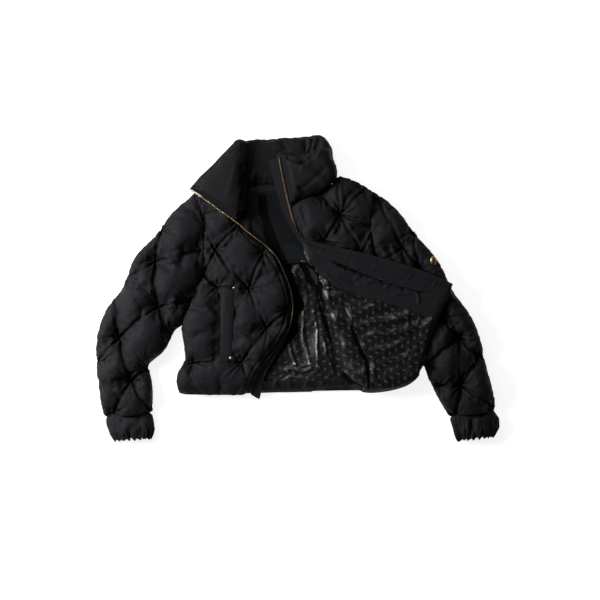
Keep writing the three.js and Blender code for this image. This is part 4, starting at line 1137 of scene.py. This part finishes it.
class JacketLining(bpy.types.PropertyGroup):
    colour: FloatVectorProperty(
        name="Colour", description="Colour of the lining between its pattern", subtype="COLOR", size=3,
        min=0, max=1, default=(0.0056, 0.0052, 0.0053),
    )
    roughness: FloatProperty(
        name="Roughness", description="Gloss of the lining", subtype="FACTOR", min=0, max=1, default=0.33,
    )
    crumple: FloatProperty(
        name="Crumple", description="Share of the full height of the small creases", subtype="FACTOR",
        min=0, max=2, default=1,
    )
    pattern_size: FloatProperty(
        name="Pattern size", description="Height of one row of the woven pattern", unit="LENGTH",
        min=0.002, max=0.05, default=0.0165,
    )


class JacketTrim(bpy.types.PropertyGroup):
    colour: FloatVectorProperty(
        name="Colour", description="Colour of the metal", subtype="COLOR", size=3,
        min=0, max=1, default=(0.46, 0.32, 0.18),
    )
    roughness: FloatProperty(
        name="Roughness", description="Gloss of the metal", subtype="FACTOR", min=0, max=1, default=0.34,
    )
    tooth_pitch: FloatProperty(
        name="Tooth pitch", description="From one zip tooth to the next", unit="LENGTH",
        min=0.001, max=0.01, default=0.0019,
    )
    stitch_pitch: FloatProperty(
        name="Stitch pitch", description="From one stitch to the next", unit="LENGTH",
        min=0.001, max=0.02, default=0.0034,
    )


class JacketStage(bpy.types.PropertyGroup):
    floor_colour: FloatVectorProperty(
        name="Floor colour", description="Colour of the surface that the jacket lies on", subtype="COLOR",
        size=3, min=0, max=1, default=(0.5, 0.5, 0.5),
    )
    view_width: FloatProperty(
        name="View width", description="Width of what the camera sees", unit="LENGTH",
        min=0.1, max=10, default=1.38,
    )
    camera_height: FloatProperty(
        name="Camera height", description="From the surface to the camera", unit="LENGTH",
        min=1, max=20, default=4.5,
    )


# Zips, stitches and small metal

def path_object(name, lines):
    """Poly lines in the frame, as one curve object."""
    curve = bpy.data.curves.new(name, "CURVE")
    curve.dimensions = "3D"
    for line in lines:
        spline = curve.splines.new("POLY")
        spline.points.add(len(line) - 1)
        for point, place in zip(spline.points, line):
            point.co = (*place, 1)
    return new_object(name, curve)


def smooth_line(points, step=6.0):
    """A fine line through sparse points, in mm, by a Catmull-Rom curve."""
    p = np.array([tuple(q) for q in points], float)
    p = np.vstack([2 * p[0] - p[1], p, 2 * p[-1] - p[-2]])
    fine = []
    for i in range(1, len(p) - 2):
        count = max(2, int(np.linalg.norm(p[i + 1] - p[i]) / step))
        for k in range(count):
            t = k / count
            fine.append(0.5 * (
                2 * p[i] + (p[i + 1] - p[i - 1]) * t
                + (2 * p[i - 1] - 5 * p[i] + 4 * p[i + 1] - p[i + 2]) * t * t
                + (3 * p[i] - p[i - 1] - 3 * p[i + 1] + p[i + 2]) * t ** 3
            ))
    return np.array(fine + [p[-2]])


def repeat_tree(name, shape, material):
    """Geometry nodes that set a shape at even steps along a curve, in line with it."""
    tree = bpy.data.node_groups.new(name, "GeometryNodeTree")
    tree.is_modifier = True
    tree.interface.new_socket("Geometry", in_out="INPUT", socket_type="NodeSocketGeometry")
    pitch = tree.interface.new_socket("Pitch", in_out="INPUT", socket_type="NodeSocketFloat")
    tree.interface.new_socket("Geometry", in_out="OUTPUT", socket_type="NodeSocketGeometry")
    nodes, links = tree.nodes, tree.links
    given, out = nodes.new("NodeGroupInput"), nodes.new("NodeGroupOutput")
    resample = nodes.new("GeometryNodeResampleCurve")
    resample.mode = "LENGTH"
    links.new(given.outputs["Geometry"], resample.inputs["Curve"])
    links.new(given.outputs["Pitch"], resample.inputs["Length"])
    tangent = nodes.new("GeometryNodeInputTangent")
    align = nodes.new("FunctionNodeAlignEulerToVector")
    align.axis = "X"
    align.pivot_axis = "AUTO"
    links.new(tangent.outputs[0], align.inputs["Vector"])
    source = nodes.new("GeometryNodeObjectInfo")
    source.inputs["Object"].default_value = shape
    source.transform_space = "ORIGINAL"
    instance = nodes.new("GeometryNodeInstanceOnPoints")
    links.new(resample.outputs[0], instance.inputs["Points"])
    links.new(source.outputs["Geometry"], instance.inputs["Instance"])
    links.new(align.outputs[0], instance.inputs["Rotation"])
    real = nodes.new("GeometryNodeRealizeInstances")
    links.new(instance.outputs[0], real.inputs[0])
    paint = nodes.new("GeometryNodeSetMaterial")
    paint.inputs["Material"].default_value = material
    links.new(real.outputs[0], paint.inputs["Geometry"])
    links.new(paint.outputs[0], out.inputs["Geometry"])
    return tree, pitch.identifier


def repeated(name, lines, shape, pitch, material):
    """A plain mesh of one shape repeated along lines."""
    obj = path_object(name, lines)
    tree, identifier = repeat_tree(name + " row", shape, material)
    modifier = obj.modifiers.new("Row", "NODES")
    modifier.node_group = tree
    modifier[identifier] = pitch
    mesh = evaluated_mesh(obj)
    bpy.data.objects.remove(obj)
    bpy.data.objects.remove(shape)
    smooth(mesh)
    return new_object(name, mesh)


def block_shape(name, size, bevel, spread=1.0):
    """A small block with rounded edges, centred on the origin, wider at its lower end."""
    bm = bmesh.new()
    bmesh.ops.create_cube(bm, size=1)
    for vertex in bm.verts:
        vertex.co = [c * side for c, side in zip(vertex.co, size)]
        if vertex.co.y < 0:
            vertex.co.x *= spread
    bmesh.ops.bevel(bm, geom=bm.edges[:], offset=bevel, segments=1, affect="EDGES")
    return new_object(name, mesh_from(bm, name))


def rounded(node, bevel):
    """A metal node with its edges rounded."""
    bm = merged_copy(node)
    sharp = [e for e in bm.edges if len(e.link_faces) == 2 and e.calc_face_angle() > 0.6]
    bmesh.ops.bevel(bm, geom=sharp, offset=bevel, segments=3, affect="EDGES", clamp_overlap=True)
    obj = new_object(node + "_metal", mesh_from(bm, node), surfaces()["Gold"])
    smooth(obj.data)
    return obj


def ring_mesh(name, rings):
    """A closed mesh over rings of points."""
    bm = bmesh.new()
    loops = [[bm.verts.new(p) for p in ring] for ring in rings]
    for a, b in zip(loops, loops[1:]):
        for k in range(len(a)):
            n = (k + 1) % len(a)
            bm.faces.new((a[k], a[n], b[n], b[k]))
    bm.faces.new(loops[0])
    bm.faces.new(loops[-1][::-1])
    bmesh.ops.triangulate(bm, faces=[f for f in bm.faces if len(f.verts) > 4])
    bmesh.ops.recalc_face_normals(bm, faces=bm.faces)
    mesh = mesh_from(bm, name)
    smooth(mesh)
    return mesh


def turned(name, profile, centre):
    """A round metal piece from its profile of radius and height, in mm."""
    angle = 2 * np.pi * np.arange(32) / 32
    rings = [
        np.array(centre) + np.column_stack([r * np.cos(angle), r * np.sin(angle), angle * 0 + height]) * MM
        for r, height in profile
    ]
    return new_object(name, ring_mesh(name, rings), surfaces()["Gold"])


def cloth_objects():
    return [o for o in bpy.data.objects if o.name.endswith("_cloth")]


def on_cloth(line, targets):
    """A line over the cloth that lies highest under it."""
    found = []
    for x, y, *_ in smooth_line([(px, py, 0) for px, py in line], 3.0):
        start = in_frame(x, y, 200)
        best = None
        for obj in targets:
            hit, place, _, _ = obj.ray_cast(start, Vector((0, 0, -1)))
            if hit and (best is None or place.z > best.z):
                best = place
        if best is not None:
            found.append(best + Vector((0, 0, 0.00012)))
    return found


def middle_of(node):
    """The middle line of a long thin node that runs along X."""
    points = np.array([vertex.co for vertex in frame["nodes"][node].data.vertices])
    order = np.argsort(points[:, 0])
    groups = np.array_split(points[order], 24)
    return [Vector(g.mean(0)) for g in groups]


def paint_node(name, material):
    mesh = frame["nodes"][name].data
    mesh.materials.clear()
    mesh.materials.append(surfaces()[material])


# Cuffs

CuffSection = namedtuple("CuffSection", "outer inner crown")
RIGHT_CUFF = [
    CuffSection((-440, -289), (-345, -280), 25),
    CuffSection((-443, -298), (-336, -289), 30),
    CuffSection((-442, -312), (-334, -302), 34),
    CuffSection((-436, -330), (-333, -320), 35),
    CuffSection((-427, -343), (-340, -337), 30),
]
LEFT_CUFF = [
    CuffSection((450, -275), (356, -288), 25),
    CuffSection((457, -285), (351, -298), 30),
    CuffSection((465, -296), (354, -308), 33),
    CuffSection((466, -316), (362, -328), 35),
    CuffSection((457, -333), (372, -342), 30),
]


def folds(angle, turns, phase):
    """Round lobes with crisp folds between them, about 0."""
    return np.abs(np.sin(turns * angle / 2 + phase)) ** 0.8 - 0.68


def cuff_mesh(name, sections, seed):
    """A gathered elastic cuff with a ruffled edge and its opening."""
    around, along, inside = 192, 30, 8
    rows = np.array([[*s.outer, *s.inner, s.crown] for s in sections], float)
    places = np.linspace(0, len(sections) - 1, along + 1)
    shape = np.stack([np.interp(places, range(len(sections)), rows[:, c]) for c in range(5)], 1)
    angle = 2 * np.pi * np.arange(around) / around
    round_about = 13 * np.column_stack([np.cos(angle), np.sin(angle)])
    uneven = 1 + 0.75 * unevenness(round_about, 8, 61 + round(seed))
    edge = shape[-1, :2] - shape[-3, :2]
    way = edge / np.linalg.norm(edge)
    rings = []
    for i in range(along + inside + 1):
        j = min(i, 2 * along - i)
        v = j / along
        outer, inner, crown = shape[j, :2], shape[j, 2:4], shape[j, 4]
        wall = 1.0 if i <= along else 1 - 0.1 * min(1, (i - along) / 2)
        share = 0.5 - 0.5 * wall * np.cos(angle)
        plan = outer + share[:, None] * (inner - outer)
        full = crown if i <= along else max(6.0, crown * (0.62 - 0.06 * (i - along)))
        base = 0 if i <= along else 0.5 * (crown - full)
        up = np.where(angle < np.pi, np.abs(np.sin(angle)) ** 0.78, 0)
        down = np.where(angle >= np.pi, np.minimum(1, 2.2 * np.abs(np.sin(angle))) ** 0.7, 0)
        widest = 0.38 * full
        height = base + widest + (full - widest) * up - widest * down
        twist = 0.25 * np.sin(3 * angle + seed) * v
        gathers = (
            5.0 * folds(angle + twist, 11, seed) * (0.25 + 0.75 * v) * (0.7 + 0.5 * np.sin(2 * angle + seed))
            + 4.2 * folds(angle - 2 * twist, 19, 2 * seed) * soft_step(0.15, 0.9, v)
            * (0.8 - 0.4 * np.sin(angle * 3))
            + 1.6 * folds(angle, 37, 3 * seed) * soft_step(0.55, 1, v)
        ) * uneven
        height += gathers * np.where(up > 0.1, up, 0) * (1 if i <= along else 0.7)
        height += 2.6 * unevenness(plan, 13, 51 + round(seed)) * up
        frill = soft_step(0.45, 1.0, v)
        place = 2 * np.pi * share
        ragged = 4 + 11 * folds(place, 7.4, 1.7 * seed) + 7 * folds(place, 13, seed + 0.6)
        across = (inner - outer) / np.linalg.norm(inner - outer)
        plan = plan + way * (frill * ragged)[:, None]
        plan = plan - across * ((0.5 + 0.5 * v) * gathers * np.cos(angle))[:, None]
        rings.append(np.column_stack([(plan + ORIGIN) * MM, np.maximum(height, 0) * MM]))
    return new_object(name, ring_mesh(name, rings), surfaces()["Quilted cloth"])


# Stage

Lamp = namedtuple("Lamp", "name place size power")
LAMPS = [
    Lamp("Key", (-1.5, 0.3, 0.98), 0.8, 46),
    Lamp("Top", (-0.9, 1.5, 2.3), 1.6, 18),
]
ROOM_LIGHT = 0.05
FLOOR_GLOW = 0.86
VIEW_CENTRE = (0.0046, -0.03025)
VIEW_LEVEL = 0.03  # the height at which the view is as wide as its setting says, in m


def make_floor(settings):
    bm = bmesh.new()
    bmesh.ops.create_grid(bm, x_segments=1, y_segments=1, size=6)
    material, _, shader = new_material("Floor")
    shader.inputs["Base Color"].default_value = (*settings.floor_colour, 1)
    shader.inputs["Roughness"].default_value = 0.9
    shader.inputs["Emission Color"].default_value = (1, 1, 1, 1)
    shader.inputs["Emission Strength"].default_value = FLOOR_GLOW
    new_object("floor", mesh_from(bm, "floor"), material)


def make_lights():
    for lamp in LAMPS:
        light = bpy.data.lights.new(lamp.name, "AREA")
        light.size = lamp.size
        light.energy = lamp.power
        obj = new_object(lamp.name, light)
        obj.location = lamp.place
        obj.rotation_euler = (-Vector(lamp.place)).to_track_quat("-Z", "Y").to_euler()
    world = bpy.data.worlds.new("Studio")
    world.use_nodes = True
    background = world.node_tree.nodes["Background"]
    background.inputs[0].default_value = (1, 1, 1, 1)
    background.inputs[1].default_value = ROOM_LIGHT
    bpy.context.scene.world = world
    bpy.context.scene.view_settings.view_transform = "Standard"


def make_camera(settings):
    camera = bpy.data.cameras.new("Camera")
    camera.sensor_width = 36
    camera.lens = camera.sensor_width * (settings.camera_height - VIEW_LEVEL) / settings.view_width
    camera.clip_end = 50
    obj = new_object("Camera", camera)
    obj.location = (*VIEW_CENTRE, settings.camera_height)
    bpy.context.scene.camera = obj


# Operators

class JACKET_OT_shell(bpy.types.Operator):
    """Pads the quilted panels, sleeves and collar by a cloth simulation"""
    bl_idname = "jacket.shell"
    bl_label = "Padded shell"

    def execute(self, context):
        settings = context.scene.jacket_shell
        made = [(even_mesh(piece), piece) for piece in PADDED]
        held = {piece.node: quilted(obj, piece) for obj, piece in made}
        swelling = [(obj, piece) for obj, piece in made if piece.swell]
        starts = {piece.node: points_of(obj.data) for obj, piece in swelling}
        for obj, piece in swelling:
            add_cloth(obj, held[piece.node], settings)
        for moment in range(1, MOMENTS + 1):
            context.scene.frame_set(moment)
        for obj, piece in swelling:
            swell(obj, starts[piece.node], piece.swell)
        context.scene.frame_set(1)
        for obj, piece in made:
            if piece.node != "back":
                divide(obj)
                divide_top(obj, piece.skins)
            add_creases(obj, piece, settings)
            # the collar takes the shell's cloth darkened as painted shade
            obj.data.materials.clear()
            obj.data.materials.append(surfaces()["Collar" if piece.node == "collar" else "Quilted cloth"])
            finish_piece(obj, [piece.node])
        return {"FINISHED"}


class JACKET_OT_cuffs(bpy.types.Operator):
    """Makes the gathered elastic cuffs"""
    bl_idname = "jacket.cuffs"
    bl_label = "Cuffs"

    def execute(self, context):
        for side, sections, seed in (("right", RIGHT_CUFF, 1.0), ("left", LEFT_CUFF, 2.3)):
            cuff = cuff_mesh(side + "_cuff_cloth", sections, seed)
            finish_piece(cuff, [side + "_cuff"])
        return {"FINISHED"}


class JACKET_OT_linings(bpy.types.Operator):
    """Lays the linings, facings, plackets and the label with their creases"""
    bl_idname = "jacket.linings"
    bl_label = "Linings and facings"

    def execute(self, context):
        for skin in SKINS:
            obj = dress_skin(skin, context.scene.jacket_lining)
            names, kind = skin_surfaces(skin, obj.data)
            obj.data.materials.clear()
            for name in names:
                obj.data.materials.append(surfaces()[name])
            obj.data.polygons.foreach_set("material_index", kind)
            finish_piece(obj, [skin.node])
        return {"FINISHED"}


class JACKET_OT_zips(bpy.types.Operator):
    """Sets the zips' teeth along their tapes"""
    bl_idname = "jacket.zips"
    bl_label = "Zips"

    def execute(self, context):
        pitch = context.scene.jacket_trim.tooth_pitch
        gold = surfaces()["Gold"]
        rows = {
            "right_zip_teeth": [in_frame(*p) for p in smooth_line(RIGHT_ZIP)],
            "left_zip_teeth_collar": [in_frame(*p) for p in smooth_line(LEFT_ZIP)],
            "left_zip_teeth_front": middle_of("left_zip_teeth_front"),
        }
        for node, line in rows.items():
            tooth = block_shape("tooth", (1.15 * MM, 3.0 * MM, 2.1 * MM), 0.25 * MM, 1.35)
            obj = repeated(node + "_metal", [line], tooth, pitch, gold)
            finish_piece(obj, [node])
        for side in ("right", "left"):
            for part in ("collar", "front"):
                paint_node(f"{side}_zip_tape_{part}", "Zip tape")
        return {"FINISHED"}


class JACKET_OT_metal(bpy.types.Operator):
    """Makes the snaps, the stud, the slider and its pull"""
    bl_idname = "jacket.metal"
    bl_label = "Snaps, stud and slider"

    def execute(self, context):
        for node, (x, y) in SNAPS.items():
            centre = in_frame(x, y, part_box(node)[0].z / MM)
            finish_piece(turned(node + "_metal", SNAP_PROFILE, centre), [node])
        finish_piece(rounded("zip_slider", 1.1 * MM), ["zip_slider"])
        stud = rounded("sleeve_stud", 0.5 * MM)
        points = points_of(stud.data) + STUD_SHIFT * MM
        points[:, 2] -= 0.35 * (points[:, 0] - points[:, 0].mean())
        move_points(stud.data, points)
        finish_piece(stud, ["sleeve_stud"])
        eyelet_place = on_cloth(EYELET_LINE, cloth_objects())[1]
        finish_piece(turned("hem_eyelet", EYELET_PROFILE, eyelet_place), [])
        paint_node("zip_pull", "Gold")
        for polygon in frame["nodes"]["zip_pull"].data.polygons:
            polygon.use_smooth = False
        return {"FINISHED"}


class JACKET_OT_pocket(bpy.types.Operator):
    """Rounds the pocket's welt"""
    bl_idname = "jacket.pocket"
    bl_label = "Pocket welt"

    def execute(self, context):
        bm = merged_copy("right_pocket_welt")
        bmesh.ops.subdivide_edges(bm, edges=bm.edges[:], cuts=12, use_grid_fill=True)
        mesh = mesh_from(bm, "right_pocket_welt")
        obj = new_object("right_pocket_welt_cloth", mesh, surfaces()["Quilted cloth"])
        points = points_of(mesh)
        plan = plan_of(points)
        middle = WELT_X + WELT_LEAN * (plan[:, 1] - WELT_Y)
        across = np.clip(np.abs(plan[:, 0] - middle) / WELT_HALF_WIDTH, 0, 1)
        low = points[:, 2].min() / MM
        top = soft_step(low + 1, low + 2, points[:, 2] / MM)
        points[:, 2] += top * MM * (3.4 * (1 - across ** 2.5) + 0.8 * unevenness(plan, 14, 41) - 1.2)
        move_points(mesh, points)
        bevel = obj.modifiers.new("Soft edges", "BEVEL")
        bevel.width = 0.7 * MM
        bevel.segments = 3
        bevel.limit_method = "ANGLE"
        bevel.angle_limit = SHARP_ANGLE
        make_plain(obj)
        smooth(obj.data)
        finish_piece(obj, ["right_pocket_welt"])
        return {"FINISHED"}


class JACKET_OT_stitching(bpy.types.Operator):
    """Sews the topstitching along the plackets, facings, pocket and hems"""
    bl_idname = "jacket.stitching"
    bl_label = "Topstitching"

    def execute(self, context):
        targets = cloth_objects()
        lines = [on_cloth(line, targets) for line in STITCH_LINES]
        stitch = block_shape("stitch", (2.4 * MM, 0.5 * MM, 0.45 * MM), 0.14 * MM)
        pitch = context.scene.jacket_trim.stitch_pitch
        obj = repeated("topstitching", [l for l in lines if len(l) > 2], stitch, pitch, surfaces()["Thread"])
        finish_piece(obj, [])
        return {"FINISHED"}


class JACKET_OT_stage(bpy.types.Operator):
    """Sets the floor, the lights and the camera"""
    bl_idname = "jacket.stage"
    bl_label = "Stage"

    def execute(self, context):
        settings = context.scene.jacket_stage
        make_floor(settings)
        make_lights()
        make_camera(settings)
        return {"FINISHED"}


class JACKET_PT_panel(bpy.types.Panel):
    """Shows the jacket's settings and the buttons of its steps."""
    bl_idname = "JACKET_PT_panel"
    bl_label = "Puffer jacket"
    bl_space_type = "VIEW_3D"
    bl_region_type = "UI"
    bl_category = "Jacket"

    def draw(self, context):
        for name in ("jacket_shell", "jacket_lining", "jacket_trim", "jacket_stage"):
            settings = getattr(context.scene, name)
            box = self.layout.box()
            for field in settings.__annotations__:
                box.prop(settings, field)
        for operator in OPERATORS:
            self.layout.operator(operator.bl_idname)


GROUPS = {
    "jacket_shell": JacketShell,
    "jacket_lining": JacketLining,
    "jacket_trim": JacketTrim,
    "jacket_stage": JacketStage,
}
OPERATORS = (
    JACKET_OT_shell,
    JACKET_OT_cuffs,
    JACKET_OT_linings,
    JACKET_OT_zips,
    JACKET_OT_pocket,
    JACKET_OT_metal,
    JACKET_OT_stitching,
    JACKET_OT_stage,
)


def register():
    for name, group in GROUPS.items():
        bpy.utils.register_class(group)
        setattr(bpy.types.Scene, name, PointerProperty(type=group))
    for kind in (*OPERATORS, JACKET_PT_panel):
        bpy.utils.register_class(kind)


def unregister():
    for kind in (JACKET_PT_panel, *reversed(OPERATORS)):
        bpy.utils.unregister_class(kind)
    for name, group in reversed(GROUPS.items()):
        delattr(bpy.types.Scene, name)
        bpy.utils.unregister_class(group)


def main():
    register()
    for operator in OPERATORS:
        group, name = operator.bl_idname.split(".")
        getattr(getattr(bpy.ops, group), name)()


if __name__ == "__main__":
    main()
